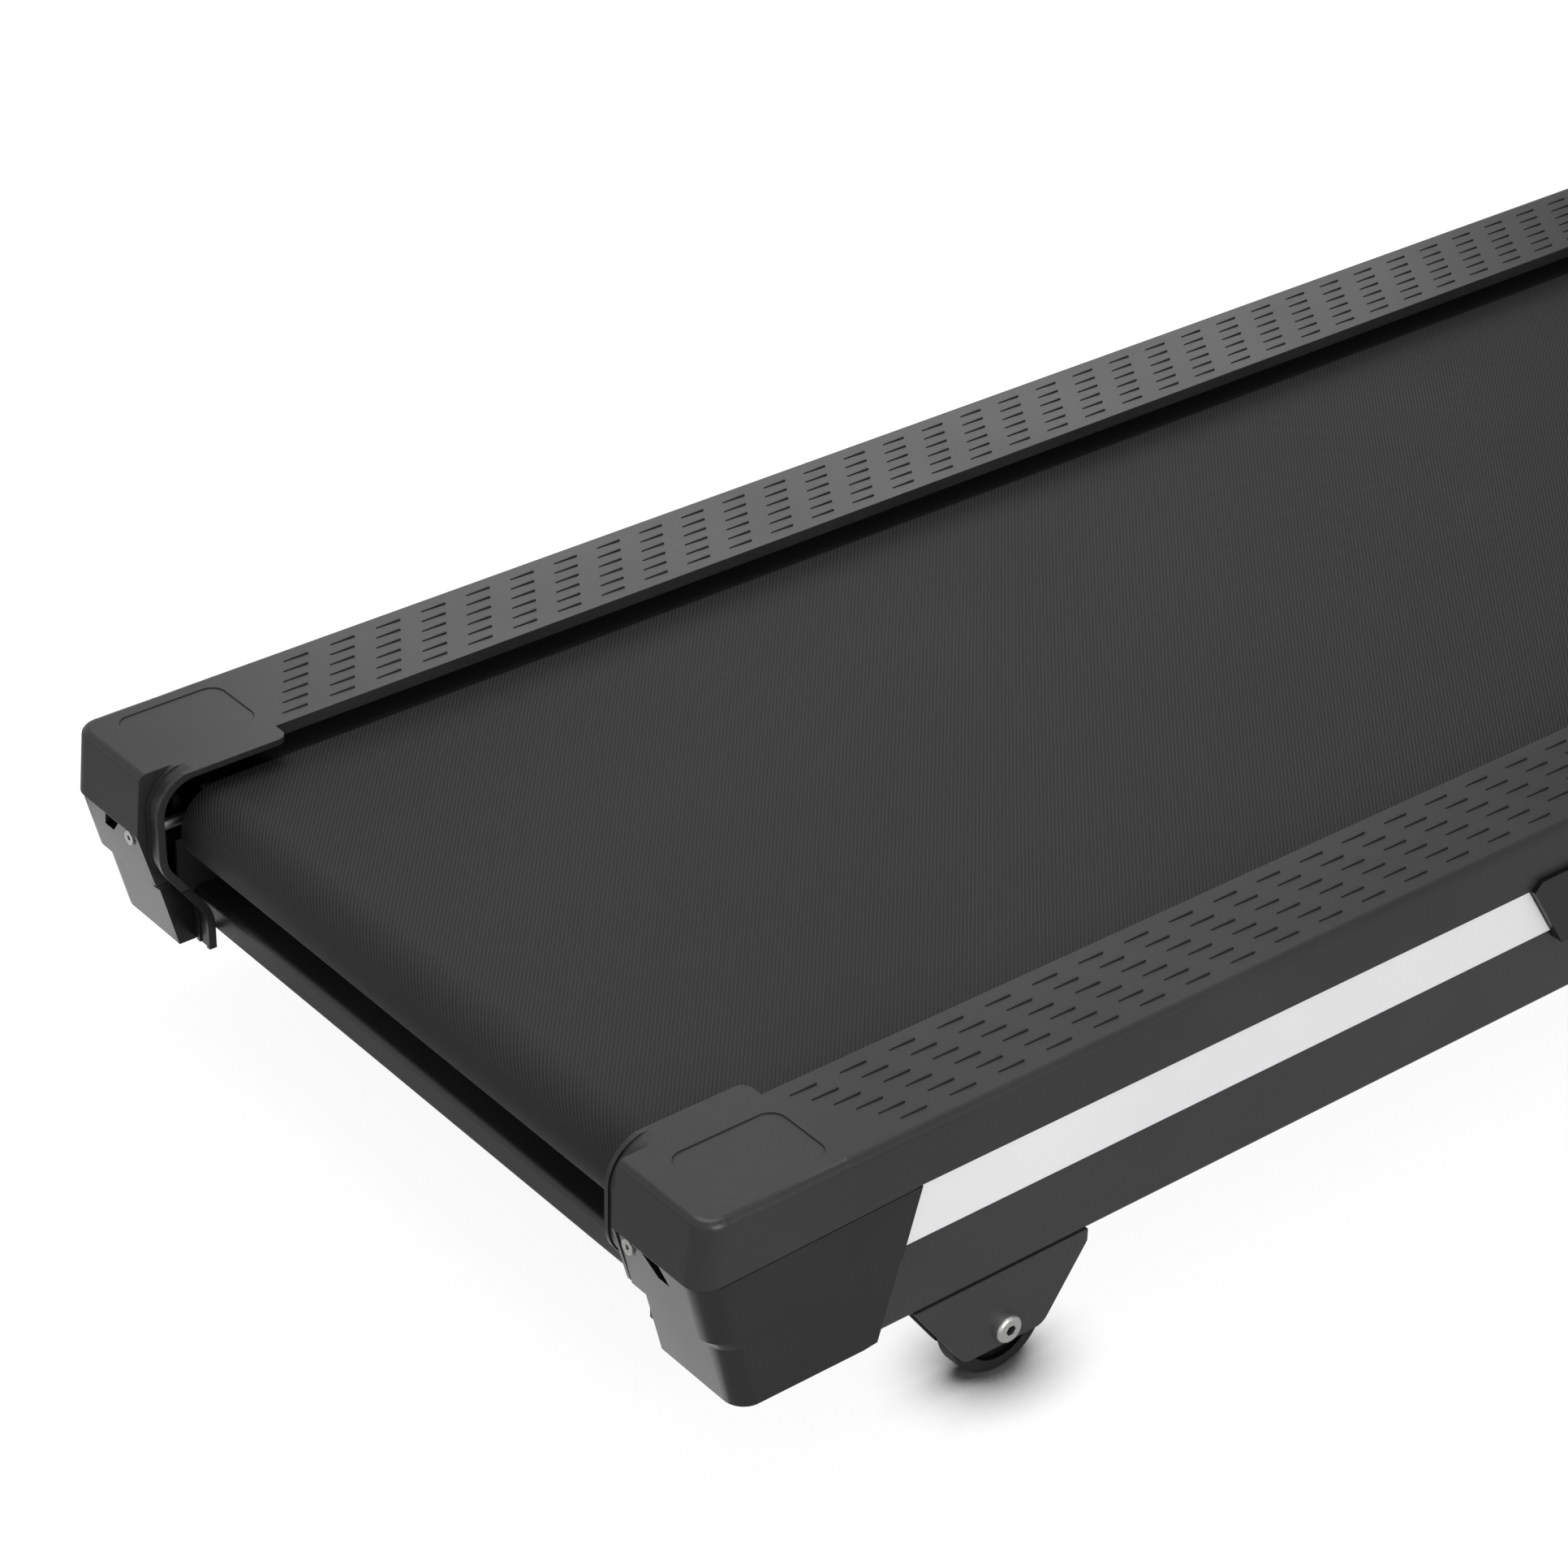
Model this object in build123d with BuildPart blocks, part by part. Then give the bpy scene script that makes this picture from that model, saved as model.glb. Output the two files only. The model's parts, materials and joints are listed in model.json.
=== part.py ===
from build123d import *
import math
import os

# Folding home treadmill. Millimetres, +X to the runner's right, +Y towards the console, +Z up.
# The origin is on the floor below the middle of the machine.

# Overall
total_length = 1750.0
rear_y = -total_length / 2
front_y = total_length / 2
seat_gap = 0.3
running_gap = 0.05

# Running surface
rail_top_z = 203.0
belt_drop = 18.0
belt_width = 450.0
belt_thickness = 2.0
roller_radius = 24.5
roller_overhang = 3.0
rear_roller_setback = 53.0
front_roller_setback = 315.0
axle_radius = 7.5
rail_gap = 6.0
rail_width = 74.0
roller_half_length = belt_width / 2 + roller_overhang
rail_inner_x = belt_width / 2 + rail_gap
rail_outer_x = rail_inner_x + rail_width
belt_top_z = rail_top_z - belt_drop
belt_radius = roller_radius + seat_gap + belt_thickness
roller_z = belt_top_z - belt_radius
rear_roller_y = rear_y + rear_roller_setback
front_roller_y = front_y - front_roller_setback

# Side frame tubes
frame_inset = 6.0
frame_tube_width = 40.0
frame_bottom_z = 73.0
frame_height = 107.0
frame_wall = 2.0
frame_rear_setback = 42.0
frame_nose = 30.0
frame_outer_x = rail_outer_x - frame_inset
frame_inner_x = frame_outer_x - frame_tube_width
frame_top_z = frame_bottom_z + frame_height
frame_rear_y = rear_y + frame_rear_setback
tube_corner = 4.0

# Fold hinge at the front of the frame
fold_setback = 75.0
fold_rise = 22.0
fold_pin_radius = 8.0
fold_pivot_y = front_y - fold_setback
fold_pivot_z = frame_bottom_z + fold_rise
frame_front_y = fold_pivot_y + frame_nose

# Foot rails
rail_wall = 2.5
rail_lip = 8.0
rail_skirt = 37.0
rail_edge_radius = 5.0
rail_web_inset = 12.0
skirt_z = rail_top_z - rail_skirt

# Rear caps
cap_length = 98.0
cap_wall = 3.0
cap_seam_drop = 41.5
cap_seam_rise = 4.0
cap_seam_gap = 0.6
cap_rear_draft = 4.0
cap_corner = 14.0
cap_split_drop = 79.0
cap_ledge_drop = 81.0
cap_ledge_height = 7.0
cap_mid_lean = 11.0
cap_ledge_depth = 6.0
cap_low_lean = 11.0
cap_low_inset = 1.0
cap_crease_height = 1.2
cap_low_inner_inset = 7.0
cap_bottom_drop = 131.0
cap_front_reach = 147.0
cap_front_slope = 0.29
cap_notch = 9.0
guard_reach = 14.0
guard_thickness = 4.0
guard_rear_reach = 46.0
guard_top_radius = 26.0
guard_low_radius = 24.0
guard_low_drop = 7.5
guard_turn = 35.0
guard_run = 36.0
guard_tail_radius = 28.0
guard_bead = 1.0
guard_bead_width = 3.2
guard_end_radius = 7.0
guard_bottom_drop = 127.0
panel_inset_inner = 13.0
panel_inset_outer = 12.0
panel_rear_inset = 24.0
panel_front_inset = 2.0
panel_corner = 10.0
panel_depth = 0.6
cap_front_y = rear_y + cap_length
cap_seam_z = rail_top_z - cap_seam_drop
cap_split_z = rail_top_z - cap_split_drop
cap_ledge_z = rail_top_z - cap_ledge_drop
cap_bottom_z = rail_top_z - cap_bottom_drop
guard_x = rail_inner_x - guard_reach
guard_rear_y = rear_roller_y - guard_rear_reach
guard_low_z = rail_top_z - guard_bottom_drop

# Belt tension bolts and the slot beside them
bolt_inset = 12.0
tension_drop = 2.5
tension_head_radius = 4.6
tension_head_height = 8.0
tension_shank_radius = 3.5
tension_hole_gap = 0.3
slot_from_bolt = 19.0
slot_length = 14.0
slot_height = 11.0
slot_lean = 6.0
slot_drop = 2.0
bolt_x = rail_inner_x + bolt_inset
tension_z = roller_z - tension_drop

# Roller brackets
bracket_thickness = 6.0
bracket_rise = 24.0
bracket_reach = 37.0
bracket_slot_travel = 24.0
end_plate_width = 22.0
end_plate_setback = 15.0
end_plate_height = 28.0
end_plate_y = rear_y + end_plate_setback

# Deck board, ledges and cushions
deck_thickness = 18.0
deck_lap = 19.0
deck_roller_clearance = 14.5
deck_pulley_clearance = 17.0
deck_edge_chamfer = 2.0
cushion_height = 20.0
cushion_radius = 9.0
cushion_inset = 12.0
cushion_rows = 5
ledge_width = 30.0
ledge_thickness = 3.0
deck_half_width = rail_inner_x + deck_lap
deck_top_z = belt_top_z - belt_thickness - seat_gap
deck_bottom_z = deck_top_z - deck_thickness
ledge_top_z = deck_bottom_z - cushion_height
deck_rear_y = rear_roller_y + roller_radius + deck_roller_clearance
deck_front_y = front_roller_y - roller_radius - deck_pulley_clearance
deck_length = deck_front_y - deck_rear_y

# Cross tubes
cross_tube_depth = 40.0
cross_tube_height = 20.0
rear_cross_setback = 52.0
middle_cross_setback = 625.0
front_cross_setback = 575.0
middle_cross_y = rear_y + middle_cross_setback
front_cross_y = front_y - front_cross_setback

# Silver side strips and the plates over their joint
strip_height = 38.0
strip_thickness = 3.5
plate_setback = 608.0
plate_length = 210.0
plate_thickness = 3.0
plate_top_lap = 6.0
plate_drop = 46.0
plate_lean = 30.0
plate_rear_y = rear_y + plate_setback
strip_top_z = skirt_z
strip_bottom_z = strip_top_z - strip_height

# Rear support wheels and their brackets
wheel_radius = 33.0
wheel_width = 18.0
wheel_setback = 218.0
wheel_bore_radius = 5.0
wheel_side_gap = 0.5
wheel_plate = 3.0
bracket_top_rear = 66.5
bracket_top_front = 58.0
bracket_foot_rear = 29.0
bracket_foot_front = 28.0
bracket_foot_lift = 21.0
bracket_corner = 10.0
bolt_head_radius = 8.7
bolt_head_height = 5.0
wheel_y = rear_y + wheel_setback
wheel_z = wheel_radius
wheel_outer_x = frame_outer_x - wheel_plate - wheel_side_gap
wheel_inner_x = wheel_outer_x - wheel_width
bracket_inner_x = wheel_inner_x - wheel_side_gap - wheel_plate

# Rollers
roller_wall = 3.0
bearing_radius = 16.0
bearing_width = 10.0
pulley_radius = 36.0
pulley_width = 18.0
pulley_flange = 1.5
pulley_flange_rise = 2.0

# Motor and drive
motor_ahead = 145.0
motor_drop = 7.0
motor_radius = 48.0
motor_length = 170.0
motor_flywheel_gap = 35.0
motor_end_cap = 14.0
motor_end_step = 4.0
motor_shaft_radius = 8.0
motor_pulley_radius = 15.0
flywheel_radius = 60.0
flywheel_width = 20.0
flywheel_gap = 23.0
drive_belt_thickness = 3.0
drive_belt_inset = 2.5
pan_thickness = 3.0
pan_rear_gap = 14.0
pan_front_inset = 5.0
pan_flange = 38.0
pan_rise = 7.0
saddle_width = 12.0
saddle_inset = 25.0
saddle_half_depth = 44.0
controller_width = 110.0
controller_depth = 120.0
controller_base = 6.0
controller_fin_height = 26.0
controller_fin_width = 3.0
controller_fins = 8
controller_inset = 89.0
motor_y = front_roller_y + motor_ahead
motor_z = roller_z - motor_drop
pan_z = frame_bottom_z + pan_rise
pan_rear_y = front_roller_y + belt_radius + pan_rear_gap
pan_front_y = frame_front_y - pan_front_inset
pulley_x = roller_half_length
flywheel_x = pulley_x - flywheel_gap - flywheel_width
motor_right_x = flywheel_x - motor_flywheel_gap
controller_x = controller_inset - frame_inner_x
motor_pulley_ratio = pulley_radius / motor_pulley_radius

# Motor hood
hood_setback = 380.0
hood_overhang = 15.0
hood_wall = 3.0
hood_bottom_z = 120.0
hood_rear_rise = 6.0
hood_top_z = 270.0
hood_rear_slope = 100.0
hood_flat = 150.0
hood_fall = 8.0
hood_nose_z = 200.0
hood_edge_radius = 20.0
hood_break_radius = 30.0
hood_belt_clearance = 4.0
hood_rear_y = front_y - hood_setback
hood_front_y = frame_front_y + hood_overhang

# Power entry and its rocker switch on the front of the motor pan
entry_width = 64.0
entry_height = 30.0
entry_depth = 22.0
entry_proud = 5.0
entry_inset = 69.0
socket_width = 25.0
socket_height = 17.0
socket_depth = 16.0
entry_offset = 15.0
rocker_width = 14.0
rocker_radius = 10.0
rocker_axis_depth = 3.0
rocker_face = 3.5
rocker_back = 4.0
rocker_gap = 0.6
rocker_throw = 16.0
rocker_rod_radius = 1.4
entry_x = entry_inset - frame_inner_x

# Base frame on the floor
base_gap = 13.0
base_tube_width = 40.0
base_tube_height = 30.0
foot_height = 15.0
foot_radius = 17.0
foot_edge = 2.0
foot_inset = 45.0
base_length = 760.0
fork_length = 70.0
fork_plate = 4.0
fork_height = 36.0
base_tube_setback = 75.0
base_cross_depth = 40.0
base_cross_inset = 70.0
base_inner_x = rail_outer_x + base_gap
base_tube_front_y = front_y - base_tube_setback
base_rear_y = base_tube_front_y - base_length
base_rear_cross_y = base_rear_y + base_cross_inset
base_tube_x = base_inner_x + base_tube_width / 2
base_outer_x = base_inner_x + base_tube_width
base_top_z = foot_height + base_tube_height
hinge_plate = 8.0
hinge_plate_depth = 46.0
hinge_plate_cover = 22.0
hinge_pin_inset = 6.0

# Transport wheels
transport_radius = 26.0
transport_lift = 3.0
transport_setback = 30.0
transport_side_gap = 3.0
transport_bolt_radius = 4.0
transport_head_radius = 7.0
transport_head_height = 3.0
transport_y = front_y - transport_setback
transport_z = transport_lift + transport_radius

# Uprights
upright_depth = 70.0
upright_width = 40.0
upright_corner = 14.0
upright_wall = 2.0
upright_setback = 150.0
upright_lean = 0.005
upright_top_z = 1200.0
upright_y = front_y - upright_setback
upright_height = upright_top_z - base_top_z
cover_height = 110.0
cover_depth = 102.0
cover_width_gain = 4.0
cover_top_gain = 12.0
plug_height = 6.0
base_plug_length = 6.0

# Handrails
handrail_radius = 16.0
handrail_z = 965.0
handrail_reach = 345.0
handrail_tip = 110.0
handrail_fall = 60.0
handrail_bend_radius = 110.0
grip_thickness = 4.0
grip_front_inset = 40.0
grip_rear_inset = 10.0
handrail_bend_y = upright_y - handrail_reach
handrail_end_y = handrail_bend_y - handrail_tip

# Console
console_forward = 45.0
console_z = 1206.0
console_tilt = 50.0
console_height = 220.0
console_shell_depth = 28.0
console_back_depth = 30.0
console_corner = 36.0
console_edge = 6.0
console_back_inset = 26.0
display_width = 270.0
display_height = 96.0
display_rise = 36.0
display_depth = 2.0
display_corner = 8.0
display_gap = 0.2
tray_back = 58.0
tray_depth = 140.0
tray_z = 1030.0
tray_height = 45.0
tray_corner = 14.0
cup_radius = 36.0
cup_depth = 38.0
cup_inset = 87.7
cup_forward = -25.0
console_y = upright_y + console_forward
tray_y = upright_y - tray_back
console_half_width = base_inner_x - seat_gap
cup_x = console_half_width - cup_inset

# Console buttons and safety key
button_radius = 13.0
button_length = 9.0
button_proud = 2.6
button_travel = 2.0
button_gap = 0.3
button_edge = 1.0
button_drop = -62.0
button_spread = 78.0
key_radius = 17.0
key_height = 9.0
key_stem_radius = 5.0
key_stem_length = 14.0
key_drop = -62.0
key_gap = 0.1

os.makedirs("parts", exist_ok=True)


def save(part, name):
    """Label a finished piece and write it as its own STEP file."""
    part.label = name
    export_step(part, f"parts/{name}.step")


def mirrored(part):
    """The left-hand copy of a right-hand piece."""
    with BuildPart() as left:
        mirror(part, about=Plane.YZ)
    return left.part


def pair(part):
    """A right-hand piece and its left-hand copy, as two solids of one node."""
    with BuildPart() as both:
        add(part)
        mirror(part, about=Plane.YZ)
    return both.part


def cap_section(height, inner_x, outer_x, rear, front, corner):
    """Plan outline of the right cap at one height, with its outer rear corner rounded."""
    with BuildSketch(Plane.XY.offset(height), mode=Mode.PRIVATE) as section:
        with BuildLine():
            Polyline((outer_x - corner, rear), (inner_x, rear), (inner_x, front), (outer_x, front),
                     (outer_x, rear + corner))
            TangentArc((outer_x, rear + corner), (outer_x - corner, rear), tangent=(0, -1))
        make_face()
    return section.sketch


def guard_line(grow):
    """Side view of the guard's outer face, larger by grow, closed along the front of the cap.

    From the rail's top it turns down behind the roller, runs forward below it and ends upright.
    """
    turn = math.radians(guard_turn)
    ahead = Vector(math.sin(turn), -math.cos(turn))
    top = Vector(guard_rear_y + guard_top_radius, rail_top_z - guard_top_radius)
    low = Vector(guard_rear_y + guard_low_radius, roller_z - guard_low_drop)
    leave = low - Vector(math.cos(turn), math.sin(turn)) * (guard_low_radius + grow)
    bend = leave + ahead * guard_run
    tail = bend - Vector(math.cos(turn), math.sin(turn)) * (guard_tail_radius - grow)
    tail_y = tail.X + guard_tail_radius - grow
    with BuildLine() as line:
        CenterArc((top.X, top.Y), guard_top_radius + grow, 90, 90)
        Line((guard_rear_y - grow, top.Y), (guard_rear_y - grow, low.Y))
        CenterArc((low.X, low.Y), guard_low_radius + grow, 180, guard_turn)
        Line((leave.X, leave.Y), (bend.X, bend.Y))
        CenterArc((tail.X, tail.Y), guard_tail_radius - grow, guard_turn, -guard_turn)
        Polyline((tail_y, tail.Y), (tail_y, guard_low_z), (cap_front_y, guard_low_z),
                 (cap_front_y, rail_top_z + grow), (top.X, rail_top_z + grow))
    return line.line


def roller_space(start_x, low_z, high_z, grow, hollow):
    """The space round the rear roller that the guard follows, between two heights.

    Hollow takes out the space inside the guard, which leaves the guard's own section.
    """
    with BuildSketch(Plane.YZ.offset(start_x), mode=Mode.PRIVATE) as space:
        make_face(guard_line(grow))
        if hollow:
            make_face(guard_line(-guard_thickness), mode=Mode.SUBTRACT)
        for height, side in ((high_z, Align.MIN), (low_z, Align.MAX)):
            with Locations((rear_roller_y, height)):
                Rectangle(4 * cap_front_reach, cap_bottom_drop, align=(Align.CENTER, side),
                          mode=Mode.SUBTRACT)
    return space.sketch


def below_seam(drop):
    """Side view of everything under the slanted seam between the rail and the lower cap."""
    seam_front_y = rear_y + cap_front_reach
    with BuildSketch(Plane.YZ.offset(rail_inner_x + cap_wall), mode=Mode.PRIVATE) as under:
        Polygon((rear_y - cap_wall, cap_seam_z - drop), (seam_front_y, cap_seam_z + cap_seam_rise - drop),
                (seam_front_y, cap_seam_z - cap_wall - drop), (rear_y - cap_wall, cap_seam_z - cap_wall - drop),
                align=None)
    return under.sketch


def cap_rear(height):
    """Rear face of the lower cap at one height."""
    lower_z = cap_ledge_z - cap_ledge_height
    if height >= cap_ledge_z:
        return rear_y + cap_mid_lean * (cap_seam_z - height) / (cap_seam_z - cap_ledge_z)
    lean = cap_low_lean * (lower_z - height) / (lower_z - cap_bottom_z)
    return rear_y + cap_mid_lean + cap_ledge_depth + lean


def cap_front(height):
    """Slanted front edge of the lower cap at one height."""
    return rear_y + cap_front_reach - cap_front_slope * (cap_seam_z - height)


# Side frames: rectangular steel tubes, each with an inner ledge for the deck cushions
with BuildPart() as side_frame_right:
    frame_x = frame_outer_x - frame_tube_width / 2
    frame_z = frame_bottom_z + frame_height / 2
    with BuildSketch(Plane.XZ.offset(-frame_front_y)):
        with Locations((frame_x, frame_z)):
            RectangleRounded(frame_tube_width, frame_height, tube_corner)
    extrude(amount=frame_front_y - frame_rear_y)
    with BuildSketch(Plane.XZ.offset(-(frame_front_y - frame_wall))):
        with Locations((frame_x, frame_z)):
            RectangleRounded(frame_tube_width - 2 * frame_wall, frame_height - 2 * frame_wall,
                             tube_corner - frame_wall)
    extrude(amount=frame_front_y - frame_rear_y, mode=Mode.SUBTRACT)
    with BuildSketch(Plane.XZ.offset(-deck_front_y)):
        with Locations((frame_inner_x - ledge_width / 2, ledge_top_z - ledge_thickness / 2)):
            Rectangle(ledge_width, ledge_thickness)
    extrude(amount=deck_length)
    with BuildSketch(Plane.YZ.offset(frame_inner_x)):
        with Locations((fold_pivot_y, fold_pivot_z)):
            Circle(fold_pin_radius + running_gap)
    extrude(amount=frame_tube_width, mode=Mode.SUBTRACT)
save(side_frame_right.part, "side_frame_right")
save(mirrored(side_frame_right.part), "side_frame_left")


def cross_tubes(centres, half_width, depth, height, centre_z):
    """Square-cut tubes across the machine, one for each centre along its length."""
    with BuildPart() as tubes:
        with BuildSketch(Plane.YZ.offset(-half_width)):
            with Locations(*[(y, centre_z) for y in centres]):
                RectangleRounded(depth, height, tube_corner)
                RectangleRounded(depth - 2 * frame_wall, height - 2 * frame_wall,
                                 tube_corner - frame_wall, mode=Mode.SUBTRACT)
        extrude(amount=2 * half_width)
    return tubes.part


cross_z = frame_bottom_z + cross_tube_height / 2
rear_cross_y = rear_y + rear_cross_setback + cross_tube_depth / 2
save(cross_tubes([rear_cross_y], frame_inner_x, cross_tube_depth, cross_tube_height, cross_z),
     "rear_cross_tube")
save(cross_tubes([middle_cross_y, front_cross_y], frame_inner_x, cross_tube_depth,
                 cross_tube_height, cross_z), "deck_cross_tubes")

# Roller brackets: the rear ones let the axle slide when the belt is tensioned
with BuildPart() as roller_bracket_right:
    plate_low_z = roller_z - bracket_rise
    for axis_y, rear_reach in ((rear_roller_y, rear_roller_y - end_plate_y), (front_roller_y, bracket_reach)):
        with BuildSketch(Plane.YZ.offset(frame_inner_x - bracket_thickness)):
            with Locations((axis_y - rear_reach, plate_low_z)):
                Rectangle(rear_reach + bracket_reach, 2 * bracket_rise, align=Align.MIN)
            with Locations((axis_y, roller_z)):
                SlotCenterToCenter(bracket_slot_travel, 2 * (axle_radius + running_gap),
                                   mode=Mode.SUBTRACT)
        extrude(amount=bracket_thickness)
    with BuildSketch(Plane.XZ.offset(-end_plate_y)):
        with Locations((frame_inner_x, roller_z)):
            Rectangle(end_plate_width, end_plate_height, align=(Align.MAX, Align.CENTER))
        with Locations((bolt_x, tension_z)):
            Circle(tension_shank_radius + tension_hole_gap, mode=Mode.SUBTRACT)
    extrude(amount=bracket_thickness)
save(pair(roller_bracket_right.part), "roller_brackets")

# Roller axles, fixed in the brackets; the rear one is drilled for the tension bolts
with BuildPart() as roller_axles:
    axle_half = frame_inner_x - seat_gap
    with BuildSketch(Plane.YZ.offset(-axle_half)):
        with Locations((rear_roller_y, roller_z), (front_roller_y, roller_z)):
            Circle(axle_radius)
    extrude(amount=2 * axle_half)
    with BuildSketch(Plane.XZ.offset(-(rear_roller_y + 2 * axle_radius))):
        with Locations((bolt_x, tension_z), (-bolt_x, tension_z)):
            Circle(tension_shank_radius + tension_hole_gap)
    extrude(amount=4 * axle_radius, mode=Mode.SUBTRACT)
save(roller_axles.part, "roller_axles")

# Tension bolts: the socket heads show at the back of the caps
with BuildPart() as tension_bolt_right:
    head_back_y = end_plate_y - bracket_thickness
    with BuildSketch(Plane.XZ.offset(-head_back_y)):
        with Locations((bolt_x, tension_z)):
            Circle(tension_head_radius)
            RegularPolygon(tension_head_radius * 0.4, 6, mode=Mode.SUBTRACT)
    extrude(amount=tension_head_height)
    with BuildSketch(Plane.XZ.offset(-(rear_roller_y + axle_radius))):
        with Locations((bolt_x, tension_z)):
            Circle(tension_shank_radius)
    extrude(amount=rear_roller_y + axle_radius - head_back_y + tension_head_height / 2)
save(pair(tension_bolt_right.part), "belt_tension_bolts")

# Rollers: steel tubes with a bearing pressed in each end
plug_length = bearing_width + roller_wall


def roller(axis_y):
    """Steel tube with a thick end round each bearing seat, turned about its axle."""
    with BuildPart() as tube:
        with BuildSketch(Plane.XY.offset(roller_z)):
            with BuildLine():
                Polyline(
                    (-roller_half_length, axis_y + bearing_radius),
                    (-roller_half_length, axis_y + roller_radius),
                    (roller_half_length, axis_y + roller_radius),
                    (roller_half_length, axis_y + bearing_radius),
                    (roller_half_length - plug_length, axis_y + bearing_radius),
                    (roller_half_length - plug_length, axis_y + roller_radius - roller_wall),
                    (plug_length - roller_half_length, axis_y + roller_radius - roller_wall),
                    (plug_length - roller_half_length, axis_y + bearing_radius),
                    close=True,
                )
            make_face()
        revolve(axis=Axis((0, axis_y, roller_z), (1, 0, 0)))
    return tube.part


def roller_bearings(axis_y):
    """The two bearings of one roller, running on the fixed axle."""
    with BuildPart() as rings:
        for start_x in (-roller_half_length, roller_half_length - bearing_width):
            with BuildSketch(Plane.YZ.offset(start_x)):
                with Locations((axis_y, roller_z)):
                    Circle(bearing_radius)
                    Circle(axle_radius + running_gap, mode=Mode.SUBTRACT)
            extrude(amount=bearing_width)
    return rings.part


save(roller(rear_roller_y), "rear_roller")
save(roller_bearings(rear_roller_y), "rear_roller_bearings")
save(roller_bearings(front_roller_y), "front_roller_bearings")

# Front roller with the flanged pulley that the drive belt turns
with BuildPart() as front_roller:
    add(roller(front_roller_y))
    for start_x, width, radius in (
        (pulley_x, pulley_width, pulley_radius),
        (pulley_x, pulley_flange, pulley_radius + pulley_flange_rise),
        (pulley_x + pulley_width - pulley_flange, pulley_flange, pulley_radius + pulley_flange_rise),
    ):
        with BuildSketch(Plane.YZ.offset(start_x)):
            with Locations((front_roller_y, roller_z)):
                Circle(radius)
                Circle(bearing_radius, mode=Mode.SUBTRACT)
        extrude(amount=width)
save(front_roller.part, "front_roller")

# Running belt: a closed loop round the two rollers
with BuildPart() as running_belt:
    roller_span = front_roller_y - rear_roller_y
    with BuildSketch(Plane.YZ.offset(-belt_width / 2)):
        with Locations(((front_roller_y + rear_roller_y) / 2, roller_z)):
            SlotCenterToCenter(roller_span, 2 * belt_radius)
            SlotCenterToCenter(roller_span, 2 * (belt_radius - belt_thickness), mode=Mode.SUBTRACT)
    extrude(amount=belt_width)
save(running_belt.part, "running_belt")

# Deck board under the belt, on rubber cushions
with BuildPart() as running_deck:
    with BuildSketch(Plane.YZ.offset(-deck_half_width)) as deck_side:
        with Locations((deck_rear_y, deck_bottom_z)):
            Rectangle(deck_length, deck_thickness, align=Align.MIN)
        chamfer(deck_side.vertices().group_by(Axis.Y)[-1], deck_edge_chamfer)
    extrude(amount=2 * deck_half_width)
save(running_deck.part, "running_deck")

with BuildPart() as deck_cushions:
    cushion_x = frame_inner_x - ledge_width / 2 - cushion_inset / 4
    cushion_pitch = (deck_length - 2 * bracket_reach) / cushion_rows
    with BuildSketch(Plane.XY.offset(ledge_top_z)):
        with Locations(Location((0, (deck_rear_y + deck_front_y) / 2))):
            with GridLocations(2 * cushion_x, cushion_pitch, 2, cushion_rows):
                Circle(cushion_radius)
    extrude(amount=cushion_height)
save(deck_cushions.part, "deck_cushions")

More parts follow.
